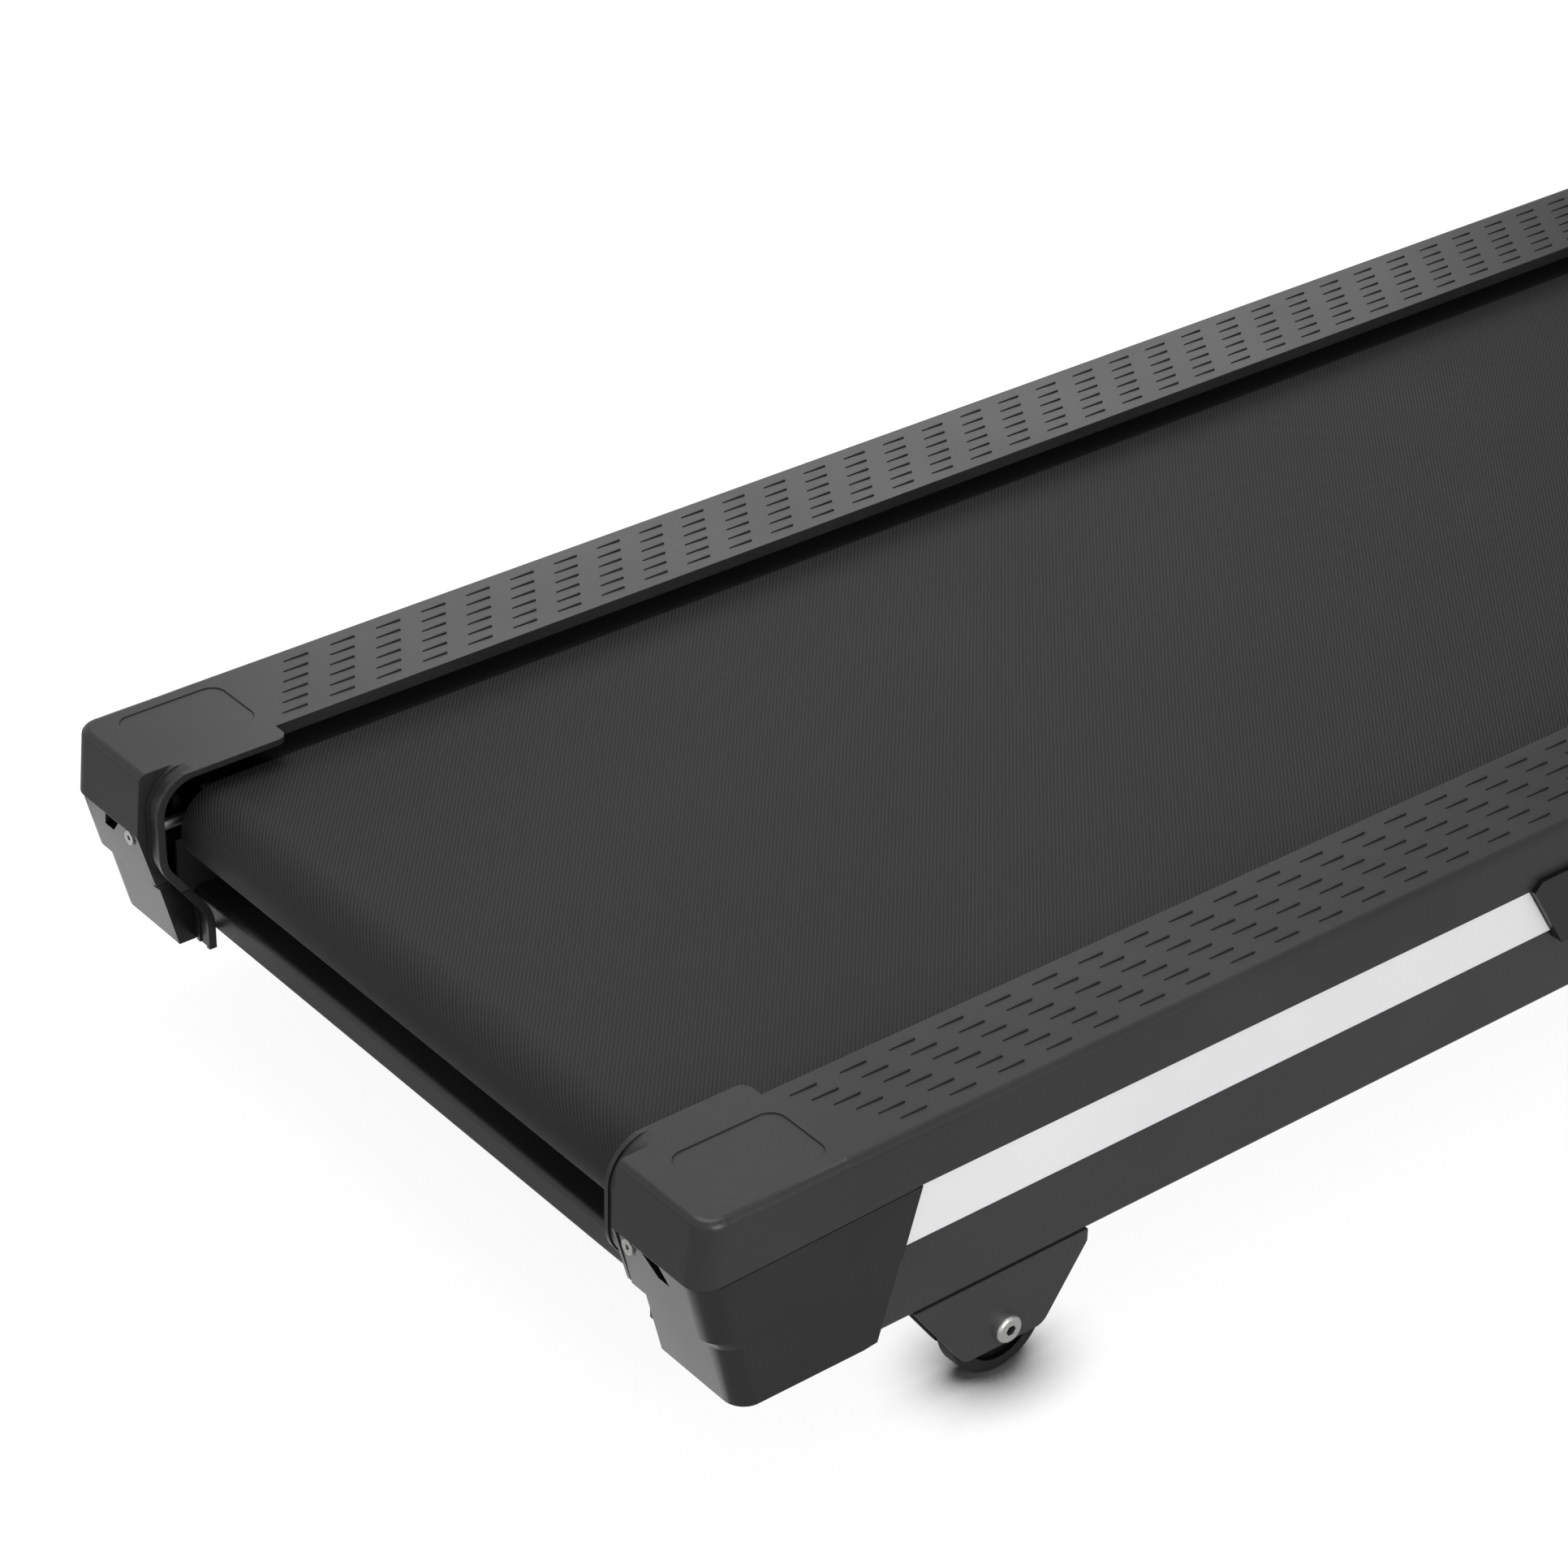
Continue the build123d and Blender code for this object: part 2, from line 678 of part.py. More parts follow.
# Foot rail: a moulded channel whose rear end is the upper half of the cap
with BuildPart() as side_rail_right:
    loft(sections=[
        cap_section(cap_seam_z, rail_inner_x, rail_outer_x, rear_y, cap_front_y, cap_corner),
        cap_section(rail_top_z, rail_inner_x, rail_outer_x, rear_y + cap_rear_draft, cap_front_y,
                    cap_corner),
    ], ruled=True)
    cap_top_edges = side_rail_right.faces().sort_by(Axis.Z)[-1].edges()
    fillet(cap_top_edges.filter_by(
        lambda edge: edge.center().Y < cap_front_y - 1 and edge.center().X > rail_inner_x + 1),
        rail_edge_radius)
    loft(sections=[
        cap_section(cap_seam_z - 1, rail_inner_x + cap_wall, rail_outer_x - cap_wall,
                    rear_y + cap_wall, cap_front_y + 1, cap_corner - cap_wall),
        cap_section(rail_top_z - cap_wall, rail_inner_x + cap_wall, rail_outer_x - cap_wall,
                    rear_y + cap_rear_draft + cap_wall, cap_front_y + 1, cap_corner - cap_wall),
    ], ruled=True, mode=Mode.SUBTRACT)
    rail_front_y = hood_rear_y - seat_gap
    with BuildSketch(Plane.XZ.offset(-rail_front_y)) as rail_profile:
        with BuildLine():
            Polyline(
                (rail_inner_x, rail_top_z - rail_lip),
                (rail_inner_x, rail_top_z),
                (rail_outer_x, rail_top_z),
                (rail_outer_x, skirt_z),
                (rail_outer_x - rail_wall, skirt_z),
                (rail_outer_x - rail_wall, rail_top_z - rail_wall),
                (rail_inner_x + rail_wall, rail_top_z - rail_wall),
                (rail_inner_x + rail_wall, rail_top_z - rail_lip),
                close=True,
            )
        make_face()
        fillet(rail_profile.vertices().group_by(Axis.Y)[-1].sort_by(Axis.X)[-1], rail_edge_radius)
        with Locations((frame_inner_x + rail_web_inset, frame_top_z)):
            Rectangle(rail_wall, rail_top_z - rail_wall - frame_top_z, align=(Align.CENTER, Align.MIN))
    extrude(amount=rail_front_y - cap_front_y)
    with BuildSketch(Plane.YZ.offset(rail_outer_x - rail_wall)):
        Polygon((cap_front_y, skirt_z), (cap_front(skirt_z), skirt_z), (cap_front_y, cap_seam_z), align=None)
    extrude(amount=rail_wall)
    extrude(below_seam(0), amount=rail_outer_x - rail_inner_x, mode=Mode.SUBTRACT)
    with BuildSketch(Plane.YZ.offset(rail_inner_x)):
        Polygon((rear_y, cap_seam_z), (cap_rear(cap_split_z), cap_split_z),
                (rear_roller_y, cap_split_z), (rear_roller_y, cap_seam_z), align=None)
    extrude(amount=cap_wall)
    extrude(roller_space(rail_inner_x, cap_split_z, rail_top_z, 0, False), amount=cap_wall,
            mode=Mode.SUBTRACT)
    for start_x, width, grow in ((guard_x, guard_reach + cap_wall, 0), (guard_x, guard_bead_width, guard_bead),
                                 (rail_inner_x - guard_bead_width, guard_bead_width, guard_bead)):
        extrude(roller_space(start_x, cap_split_z, rail_top_z, grow, True), amount=width)
    with BuildSketch(Plane.XY.offset(rail_top_z)):
        with Locations((guard_x, cap_front_y)):
            Rectangle(guard_end_radius, guard_end_radius, align=(Align.MIN, Align.MAX))
        with Locations((guard_x + guard_end_radius, cap_front_y - guard_end_radius)):
            Circle(guard_end_radius, mode=Mode.SUBTRACT)
    extrude(amount=-2 * guard_thickness, mode=Mode.SUBTRACT)
    panel_width = rail_outer_x - rail_inner_x - panel_inset_inner - panel_inset_outer
    panel_length = cap_length - panel_rear_inset - panel_front_inset
    with BuildSketch(Plane.XY.offset(rail_top_z)):
        with Locations((rail_inner_x + panel_inset_inner, rear_y + panel_rear_inset)):
            RectangleRounded(panel_width, panel_length, panel_corner, align=Align.MIN)
    extrude(amount=-panel_depth, mode=Mode.SUBTRACT)
save(side_rail_right.part, "side_rail_right")
save(mirrored(side_rail_right.part), "side_rail_left")

# Lower half of the rear cap: two tiers with a ledge between them, and the foot of the guard
with BuildPart() as rear_cap_right:
    tier_z = cap_ledge_z - cap_ledge_height
    mid_inner_x = rail_inner_x + cap_wall + seat_gap
    low_inner_x = rail_inner_x + cap_low_inner_inset
    low_outer_x = rail_outer_x - cap_low_inset
    hollow_outer_x = frame_outer_x + seat_gap
    low_corner = cap_corner - cap_low_inset
    hollow_corner = cap_corner - cap_wall - cap_low_inset
    cap_top_z = cap_seam_z + cap_seam_rise
    crease_z = cap_ledge_z - cap_crease_height
    crease_depth = cap_ledge_depth * cap_crease_height / cap_ledge_height
    loft(sections=[
        cap_section(cap_top_z, mid_inner_x, rail_outer_x, rear_y, cap_front(cap_top_z), cap_corner),
        cap_section(cap_ledge_z, mid_inner_x, rail_outer_x, cap_rear(cap_ledge_z),
                    cap_front(cap_ledge_z), cap_corner),
        cap_section(crease_z, mid_inner_x, low_outer_x, cap_rear(cap_ledge_z) + crease_depth,
                    cap_front(crease_z), low_corner),
        cap_section(tier_z, low_inner_x, low_outer_x, cap_rear(tier_z), cap_front(tier_z), low_corner),
        cap_section(cap_bottom_z, low_inner_x, low_outer_x, cap_rear(cap_bottom_z),
                    cap_front(cap_bottom_z), low_corner),
    ], ruled=True)
    loft(sections=[
        cap_section(cap_top_z, mid_inner_x - 1, hollow_outer_x, rear_y + cap_wall,
                    rear_y + 2 * cap_front_reach, hollow_corner),
        cap_section(cap_ledge_z, mid_inner_x - 1, hollow_outer_x, cap_rear(cap_ledge_z) + cap_wall,
                    rear_y + 2 * cap_front_reach, hollow_corner),
        cap_section(tier_z, low_inner_x + cap_wall, hollow_outer_x, cap_rear(tier_z) + cap_wall,
                    rear_y + 2 * cap_front_reach, hollow_corner),
        cap_section(cap_bottom_z, low_inner_x + cap_wall, hollow_outer_x,
                    cap_rear(cap_bottom_z) + cap_wall, rear_y + 2 * cap_front_reach, hollow_corner),
    ], ruled=True, mode=Mode.SUBTRACT)
    guard_top_z = cap_split_z - cap_seam_gap
    with BuildSketch(Plane.YZ.offset(mid_inner_x)):
        Polygon((rear_y - cap_wall, cap_seam_z - cap_seam_gap),
                (rear_y + cap_front_reach, cap_top_z - cap_seam_gap),
                (rear_y + 2 * cap_front_reach, rail_top_z), (rear_y - cap_wall, rail_top_z), align=None)
    extrude(amount=rail_outer_x - mid_inner_x, mode=Mode.SUBTRACT)
    extrude(roller_space(mid_inner_x, guard_low_z, rail_top_z, 0, False),
            amount=low_inner_x + cap_wall - mid_inner_x, mode=Mode.SUBTRACT)
    for start_x, width, grow in ((guard_x, low_inner_x + cap_wall - guard_x, 0),
                                 (guard_x, guard_bead_width, guard_bead),
                                 (rail_inner_x - guard_bead_width, guard_bead_width, guard_bead)):
        extrude(roller_space(start_x, guard_low_z, guard_top_z, grow, True), amount=width)
    tube_room_z = cross_z + cross_tube_height / 2 + seat_gap
    with BuildSketch(Plane.YZ.offset(rail_inner_x)):
        with Locations((rear_cross_y, tube_room_z)):
            Rectangle(cross_tube_depth + 2 * seat_gap, cap_bottom_drop, align=(Align.CENTER, Align.MAX))
    extrude(amount=cap_low_inner_inset + 2 * cap_wall, mode=Mode.SUBTRACT)
    with BuildSketch(Plane.YZ.offset(rail_inner_x)):
        Polygon((cap_front(cap_bottom_z) - cap_notch, cap_bottom_z),
                (cap_front(frame_bottom_z), frame_bottom_z),
                (cap_front(cap_bottom_z) + cap_notch, cap_bottom_z), align=None)
    extrude(amount=rail_outer_x - rail_inner_x, mode=Mode.SUBTRACT)
    with BuildSketch(Plane.XZ.offset(-(rear_y + 2 * cap_wall + cap_mid_lean))):
        with Locations((bolt_x, tension_z)):
            Circle(tension_head_radius + tension_hole_gap)
        with Locations((bolt_x + slot_from_bolt, cap_seam_z - slot_drop - slot_height / 2)):
            Polygon((-slot_length / 2, slot_height / 2), (slot_length / 2, slot_height / 2),
                    (slot_length / 2 + slot_lean, -slot_height / 2), (slot_length / 4, -slot_height / 2),
                    align=None)
    extrude(amount=4 * cap_wall + cap_mid_lean, mode=Mode.SUBTRACT)
save(rear_cap_right.part, "rear_cap_right")
save(mirrored(rear_cap_right.part), "rear_cap_left")

# Silver strips along the frame, in a rear and a front length with slanted ends
with BuildPart() as side_strip_right:
    plate_front_y = plate_rear_y + plate_length
    strip_joint = plate_lean * strip_height / plate_drop + seat_gap
    with BuildSketch(Plane.YZ.offset(frame_outer_x)):
        Polygon((cap_front(strip_top_z) + seat_gap, strip_top_z),
                (cap_front(strip_bottom_z) + seat_gap, strip_bottom_z),
                (plate_rear_y + strip_joint - seat_gap, strip_bottom_z), (plate_rear_y, strip_top_z),
                align=None)
        Polygon((plate_front_y, strip_top_z), (plate_front_y - strip_joint + seat_gap, strip_bottom_z),
                (hood_rear_y - seat_gap, strip_bottom_z), (hood_rear_y - seat_gap, strip_top_z),
                align=None)
    extrude(amount=strip_thickness)
save(pair(side_strip_right.part), "side_strips")

# Side plates over the joint of the strips, with a lap over the rail's skirt
with BuildPart() as side_plate_right:
    plate_inner_x = rail_outer_x + seat_gap
    plate_top_z = strip_top_z + plate_top_lap
    plate_low_z = strip_top_z - plate_drop
    with BuildSketch(Plane.YZ.offset(plate_inner_x)):
        Polygon((plate_rear_y + plate_top_lap, plate_top_z), (plate_rear_y, strip_top_z),
                (plate_rear_y + plate_lean, plate_low_z),
                (plate_front_y - plate_lean, plate_low_z), (plate_front_y, strip_top_z),
                (plate_front_y - plate_top_lap, plate_top_z), align=None)
    extrude(amount=plate_thickness)
    with BuildSketch(Plane.YZ.offset(frame_outer_x)):
        Polygon((plate_rear_y + 2 * seat_gap, strip_top_z - seat_gap),
                (plate_rear_y + plate_lean + seat_gap, plate_low_z),
                (plate_front_y - plate_lean - seat_gap, plate_low_z),
                (plate_front_y - 2 * seat_gap, strip_top_z - seat_gap), align=None)
    extrude(amount=plate_inner_x - frame_outer_x)
save(pair(side_plate_right.part), "side_plates")

# Rear wheel brackets: two plates under a web on the frame's underside
with BuildPart() as wheel_bracket_right:
    bracket_top_z = frame_bottom_z - wheel_plate
    for start_x in (bracket_inner_x, frame_outer_x - wheel_plate):
        with BuildSketch(Plane.YZ.offset(start_x)) as bracket_side:
            Polygon((wheel_y - bracket_top_rear, frame_bottom_z),
                    (wheel_y - bracket_foot_rear, bracket_foot_lift),
                    (wheel_y + bracket_foot_front, bracket_foot_lift),
                    (wheel_y + bracket_top_front, bracket_top_z - bracket_corner / 2),
                    (wheel_y + bracket_top_front, frame_bottom_z), align=None)
            fillet(bracket_side.vertices().group_by(Axis.Y)[0], bracket_corner)
            with Locations((wheel_y, wheel_z)):
                Circle(wheel_bore_radius + running_gap, mode=Mode.SUBTRACT)
        extrude(amount=wheel_plate)
    with BuildSketch(Plane.XY.offset(bracket_top_z)):
        with Locations((bracket_inner_x, wheel_y - bracket_top_rear + wheel_plate)):
            Rectangle(frame_outer_x - bracket_inner_x, bracket_top_rear + bracket_top_front - wheel_plate,
                      align=Align.MIN)
    extrude(amount=wheel_plate)
save(pair(wheel_bracket_right.part), "wheel_brackets")

with BuildPart() as wheel_bolt_right:
    with BuildSketch(Plane.YZ.offset(bracket_inner_x)):
        with Locations((wheel_y, wheel_z)):
            Circle(wheel_bore_radius)
    extrude(amount=frame_outer_x - bracket_inner_x)
    with BuildSketch(Plane.YZ.offset(frame_outer_x)):
        with Locations((wheel_y, wheel_z)):
            Circle(bolt_head_radius)
    extrude(amount=bolt_head_height)
    head_rim = wheel_bolt_right.faces().sort_by(Axis.X)[-1].edges()
    fillet(head_rim, bolt_head_height / 2)
    with BuildSketch(Plane.YZ.offset(frame_outer_x + bolt_head_height)):
        with Locations((wheel_y, wheel_z)):
            RegularPolygon(wheel_bore_radius * 0.7, 6)
    extrude(amount=-bolt_head_height / 2, mode=Mode.SUBTRACT)
save(pair(wheel_bolt_right.part), "wheel_bolts")


def wheel(start_x, axis_y, axis_z, radius, width, bore):
    """A moulded wheel with a rounded tread and a dished outer face."""
    tread = width / 5
    with BuildPart() as disc:
        with BuildSketch(Plane.YZ.offset(start_x)):
            with Locations((axis_y, axis_z)):
                Circle(radius)
                Circle(bore + running_gap, mode=Mode.SUBTRACT)
        extrude(amount=width)
        rims = disc.edges().filter_by(GeomType.CIRCLE).group_by(SortBy.RADIUS)[-1]
        fillet(rims, tread)
        for plane_x, depth in ((start_x, tread), (start_x + width, -tread)):
            with BuildSketch(Plane.YZ.offset(plane_x)):
                with Locations((axis_y, axis_z)):
                    Circle(radius * 0.72)
                    Circle(bore * 2, mode=Mode.SUBTRACT)
            extrude(amount=depth, mode=Mode.SUBTRACT)
    return disc.part


rear_wheel_right = wheel(wheel_inner_x, wheel_y, wheel_z, wheel_radius, wheel_width, wheel_bore_radius)
save(rear_wheel_right, "rear_wheel_right")
save(mirrored(rear_wheel_right), "rear_wheel_left")

# Motor pan between the frames, with a front flange for the power entry
with BuildPart() as motor_pan:
    with BuildSketch(Plane.YZ.offset(-frame_inner_x)):
        with Locations((pan_rear_y, pan_z)):
            Rectangle(pan_front_y - pan_rear_y, pan_thickness, align=Align.MIN)
        with Locations((pan_front_y, pan_z)):
            Rectangle(pan_thickness, pan_flange, align=(Align.MAX, Align.MIN))
    extrude(amount=2 * frame_inner_x)
    with BuildSketch(Plane.XZ.offset(-pan_front_y)):
        with Locations((entry_x, pan_z + pan_flange / 2)):
            Rectangle(entry_width, entry_height)
    extrude(amount=2 * pan_thickness, mode=Mode.SUBTRACT)
save(motor_pan.part, "motor_pan")

# Drive motor on its saddle, with the rotor's shaft, pulley and flywheel
motor_left_x = motor_right_x - motor_length
with BuildPart() as drive_motor:
    with BuildSketch(Plane.XY.offset(motor_z)):
        with BuildLine():
            end_radius = motor_radius - motor_end_step
            bore_radius = motor_shaft_radius + running_gap
            Polyline(
                (motor_left_x, motor_y + bore_radius),
                (motor_left_x, motor_y + end_radius),
                (motor_left_x + motor_end_cap, motor_y + end_radius),
                (motor_left_x + motor_end_cap, motor_y + motor_radius),
                (motor_right_x - motor_end_cap, motor_y + motor_radius),
                (motor_right_x - motor_end_cap, motor_y + end_radius),
                (motor_right_x, motor_y + end_radius),
                (motor_right_x, motor_y + bore_radius),
                close=True,
            )
        make_face()
    revolve(axis=Axis((0, motor_y, motor_z), (1, 0, 0)))
save(drive_motor.part, "drive_motor")

with BuildPart() as motor_bracket:
    pan_top_z = pan_z + pan_thickness
    for start_x in (motor_left_x + saddle_inset, motor_right_x - saddle_inset - saddle_width):
        with BuildSketch(Plane.YZ.offset(start_x)):
            with Locations((motor_y, pan_top_z)):
                Rectangle(2 * saddle_half_depth, motor_z - pan_top_z - motor_radius / 2,
                          align=(Align.CENTER, Align.MIN))
            with Locations((motor_y, motor_z)):
                Circle(motor_radius + running_gap, mode=Mode.SUBTRACT)
        extrude(amount=saddle_width)
save(motor_bracket.part, "motor_bracket")

with BuildPart() as motor_shaft:
    pulley_end_x = pulley_x + pulley_width
    for start_x, end_x, radius in (
        (motor_left_x, pulley_end_x, motor_shaft_radius),
        (pulley_x, pulley_end_x, motor_pulley_radius),
        (pulley_x, pulley_x + pulley_flange, motor_pulley_radius + pulley_flange_rise),
        (pulley_end_x - pulley_flange, pulley_end_x, motor_pulley_radius + pulley_flange_rise),
    ):
        with BuildSketch(Plane.YZ.offset(start_x)):
            with Locations((motor_y, motor_z)):
                Circle(radius)
        extrude(amount=end_x - start_x)
save(motor_shaft.part, "motor_shaft")

with BuildPart() as flywheel:
    with BuildSketch(Plane.YZ.offset(flywheel_x)):
        with Locations((motor_y, motor_z)):
            Circle(flywheel_radius)
            Circle(motor_shaft_radius, mode=Mode.SUBTRACT)
    extrude(amount=flywheel_width)
    chamfer(flywheel.edges().filter_by(GeomType.CIRCLE).group_by(SortBy.RADIUS)[-1], pulley_flange)
save(flywheel.part, "flywheel")

# Drive belt round the motor pulley and the roller pulley
with BuildPart() as drive_belt:
    with BuildSketch(Plane.YZ.offset(pulley_x + drive_belt_inset)):
        for spread, mode in ((seat_gap + drive_belt_thickness, Mode.ADD), (seat_gap, Mode.SUBTRACT)):
            with BuildSketch(mode=Mode.PRIVATE) as loop:
                with Locations((front_roller_y, roller_z)):
                    Circle(pulley_radius + spread)
                with Locations((motor_y, motor_z)):
                    Circle(motor_pulley_radius + spread)
                make_hull()
            add(loop.sketch, mode=mode)
    extrude(amount=pulley_width - 2 * drive_belt_inset)
save(drive_belt.part, "drive_belt")

# Motor controller: a finned plate on the pan
with BuildPart() as motor_controller:
    controller_z = pan_top_z + controller_base / 2
    with Locations((controller_x, motor_y, controller_z)):
        Box(controller_width, controller_depth, controller_base)
    fin_pitch = (controller_width - controller_fin_width) / (controller_fins - 1)
    with Locations((controller_x, motor_y, pan_top_z + controller_base)):
        with GridLocations(fin_pitch, controller_depth, controller_fins, 1):
            Box(controller_fin_width, controller_depth, controller_fin_height,
                align=(Align.CENTER, Align.CENTER, Align.MIN))
save(motor_controller.part, "motor_controller")

# Motor hood: a moulded shell over the drive, open below and cut away over the belt
with BuildPart() as motor_hood:
    hood_rear_z = rail_top_z + hood_rear_rise
    hood_outline = (
        (hood_rear_y, hood_bottom_z), (hood_rear_y, hood_rear_z),
        (hood_rear_y + hood_rear_slope, hood_top_z),
        (hood_rear_y + hood_rear_slope + hood_flat, hood_top_z - hood_fall),
        (hood_front_y, hood_nose_z), (hood_front_y, hood_bottom_z),
    )
    with BuildSketch(Plane.YZ.offset(-rail_outer_x)) as hood_side:
        Polygon(*hood_outline, align=None)
        fillet(hood_side.vertices().group_by(Axis.Y)[-2:], hood_break_radius)
    extrude(amount=2 * rail_outer_x)
    hood_side_edges = motor_hood.faces().filter_by(Axis.X).edges().filter_by(
        lambda edge: edge.center().Z > hood_rear_z + 1)
    fillet(hood_side_edges, hood_edge_radius)
    offset(amount=-hood_wall, openings=motor_hood.faces().sort_by(Axis.Z)[0])
    with BuildSketch(Plane.XZ.offset(-(hood_rear_y + 2 * hood_wall))):
        with Locations((0, hood_bottom_z)):
            Rectangle(2 * (rail_outer_x - hood_wall), belt_top_z + hood_belt_clearance - hood_bottom_z,
                      align=(Align.CENTER, Align.MIN))
    extrude(amount=4 * hood_wall, mode=Mode.SUBTRACT)
save(motor_hood.part, "motor_hood")

# Power entry in the pan's flange: an inlet socket and the pocket of the rocker switch
entry_z = pan_z + pan_flange / 2
entry_face_y = pan_front_y + entry_proud
socket_x = entry_x - entry_offset
rocker_x = entry_x + entry_offset + rocker_gap
rocker_axis_y = entry_face_y - rocker_axis_depth
with BuildPart() as power_entry:
    with BuildSketch(Plane.XZ.offset(-entry_face_y)):
        with Locations((entry_x, entry_z)):
            Rectangle(entry_width, entry_height)
    extrude(amount=entry_depth)
    with BuildSketch(Plane.XZ.offset(-entry_face_y)):
        with Locations((socket_x, entry_z)):
            Rectangle(socket_width, socket_height)
        with Locations((rocker_x, entry_z)):
            Rectangle(rocker_width + 2 * rocker_gap, 2 * (rocker_radius + rocker_gap))
    extrude(amount=socket_depth, mode=Mode.SUBTRACT)
    with BuildSketch(Plane.YZ.offset(rocker_x - rocker_width / 2 - rocker_gap)):
        with Locations((rocker_axis_y, entry_z)):
            Circle(rocker_rod_radius)
    extrude(amount=rocker_width + 2 * rocker_gap)
save(power_entry.part, "power_entry")

# Rocker switch: a shallow V with round ends that tips on a rod across its pocket
with BuildPart() as power_switch:
    rocker_tip = rocker_radius * math.tan(math.radians(rocker_throw))
    with BuildSketch(Plane.YZ.offset(rocker_x - rocker_width / 2)):
        with Locations((rocker_axis_y, entry_z)):
            Circle(rocker_radius)
            Polygon((-rocker_back, -rocker_radius), (rocker_face, -rocker_radius), (rocker_face, 0),
                    (rocker_face + rocker_tip, rocker_radius), (-rocker_back, rocker_radius),
                    align=None, mode=Mode.INTERSECT)
            Circle(rocker_rod_radius + running_gap, mode=Mode.SUBTRACT)
    extrude(amount=rocker_width)
save(power_switch.part, "power_switch")

# Base: side tubes and cross tubes on rubber feet, outside the folding deck
with BuildPart() as base_side_tube_right:
    base_tube_z = foot_height + base_tube_height / 2
    with BuildSketch(Plane.XZ.offset(-base_tube_front_y)):
        with Locations((base_tube_x, base_tube_z)):
            RectangleRounded(base_tube_width, base_tube_height, tube_corner)
            RectangleRounded(base_tube_width - 2 * frame_wall, base_tube_height - 2 * frame_wall,
                             tube_corner - frame_wall, mode=Mode.SUBTRACT)
    extrude(amount=base_tube_front_y - base_rear_y)
save(base_side_tube_right.part, "base_side_tube_right")
save(mirrored(base_side_tube_right.part), "base_side_tube_left")
save(cross_tubes([base_rear_cross_y, front_y - base_cross_depth / 2], base_inner_x, base_cross_depth,
                 base_tube_height, base_tube_z), "base_cross_tubes")

with BuildPart() as base_feet:
    for foot_y in (base_rear_y + foot_inset, base_tube_front_y - foot_inset):
        with BuildSketch(Plane.XY):
            with Locations((base_tube_x, foot_y), (-base_tube_x, foot_y)):
                Circle(foot_radius)
        extrude(amount=foot_height)
    chamfer(base_feet.edges().group_by(Axis.Z)[0], foot_edge)
save(base_feet.part, "base_feet")

# Hinge plates on the base tubes and the pins that the frame folds on
with BuildPart() as pivot_bracket_right:
    with BuildSketch(Plane.YZ.offset(base_inner_x - hinge_plate)) as hinge_side:
        with Locations((fold_pivot_y, foot_height)):
            Rectangle(hinge_plate_depth, fold_pivot_z + hinge_plate_cover - foot_height,
                      align=(Align.CENTER, Align.MIN))
        fillet(hinge_side.vertices().group_by(Axis.Y)[-1], hinge_plate_cover)
        with Locations((fold_pivot_y, fold_pivot_z)):
            Circle(fold_pin_radius, mode=Mode.SUBTRACT)
    extrude(amount=hinge_plate)
save(pair(pivot_bracket_right.part), "pivot_brackets")

with BuildPart() as fold_pin_right:
    with BuildSketch(Plane.YZ.offset(frame_inner_x - hinge_pin_inset)):
        with Locations((fold_pivot_y, fold_pivot_z)):
            Circle(fold_pin_radius)
    extrude(amount=base_inner_x - frame_inner_x + hinge_pin_inset)
save(pair(fold_pin_right.part), "fold_pivot_pins")

# Transport wheels in forks at the front of the base tubes
with BuildPart() as transport_fork_right:
    for start_x in (base_inner_x, base_outer_x - fork_plate):
        with BuildSketch(Plane.YZ.offset(start_x)) as fork_side:
            with Locations((base_tube_front_y, foot_height)):
                Rectangle(fork_length, fork_height, align=Align.MIN)
            fillet(fork_side.vertices().group_by(Axis.X)[-1], fork_height / 3)
            with Locations((transport_y, transport_z)):
                Circle(transport_bolt_radius + running_gap, mode=Mode.SUBTRACT)
        extrude(amount=fork_plate)
save(pair(transport_fork_right.part), "transport_wheel_forks")

with BuildPart() as transport_bolt_right:
    with BuildSketch(Plane.YZ.offset(base_inner_x)):
        with Locations((transport_y, transport_z)):
            Circle(transport_bolt_radius)
    extrude(amount=base_tube_width)
    with BuildSketch(Plane.YZ.offset(base_outer_x)):
        with Locations((transport_y, transport_z)):
            Circle(transport_head_radius)
    extrude(amount=transport_head_height)
save(pair(transport_bolt_right.part), "transport_wheel_bolts")

transport_width = base_tube_width - 2 * fork_plate - 2 * transport_side_gap
transport_wheel_right = wheel(base_inner_x + fork_plate + transport_side_gap, transport_y, transport_z,
                              transport_radius, transport_width, transport_bolt_radius)
save(transport_wheel_right, "transport_wheel_right")
save(mirrored(transport_wheel_right), "transport_wheel_left")

# Uprights: leaning tubes on the base, with moulded boots and end plugs
lean_direction = Vector(0, -upright_lean, 1)
lean_scale = lean_direction.length


def upright_section(height, grow):
    """The upright's outline at one height, larger or smaller all round by grow."""
    with BuildSketch(Plane.XY.offset(height), mode=Mode.PRIVATE) as section:
        with Locations((base_tube_x, upright_y - upright_lean * (height - base_top_z))):
            RectangleRounded(upright_width + 2 * grow, upright_depth + 2 * grow, upright_corner + grow)
    return section.sketch


with BuildPart() as upright_right:
    extrude(upright_section(base_top_z, 0), amount=upright_height * lean_scale, dir=lean_direction)
    extrude(upright_section(base_top_z, -upright_wall), amount=upright_height * lean_scale,
            dir=lean_direction, mode=Mode.SUBTRACT)
save(upright_right.part, "upright_right")
save(mirrored(upright_right.part), "upright_left")

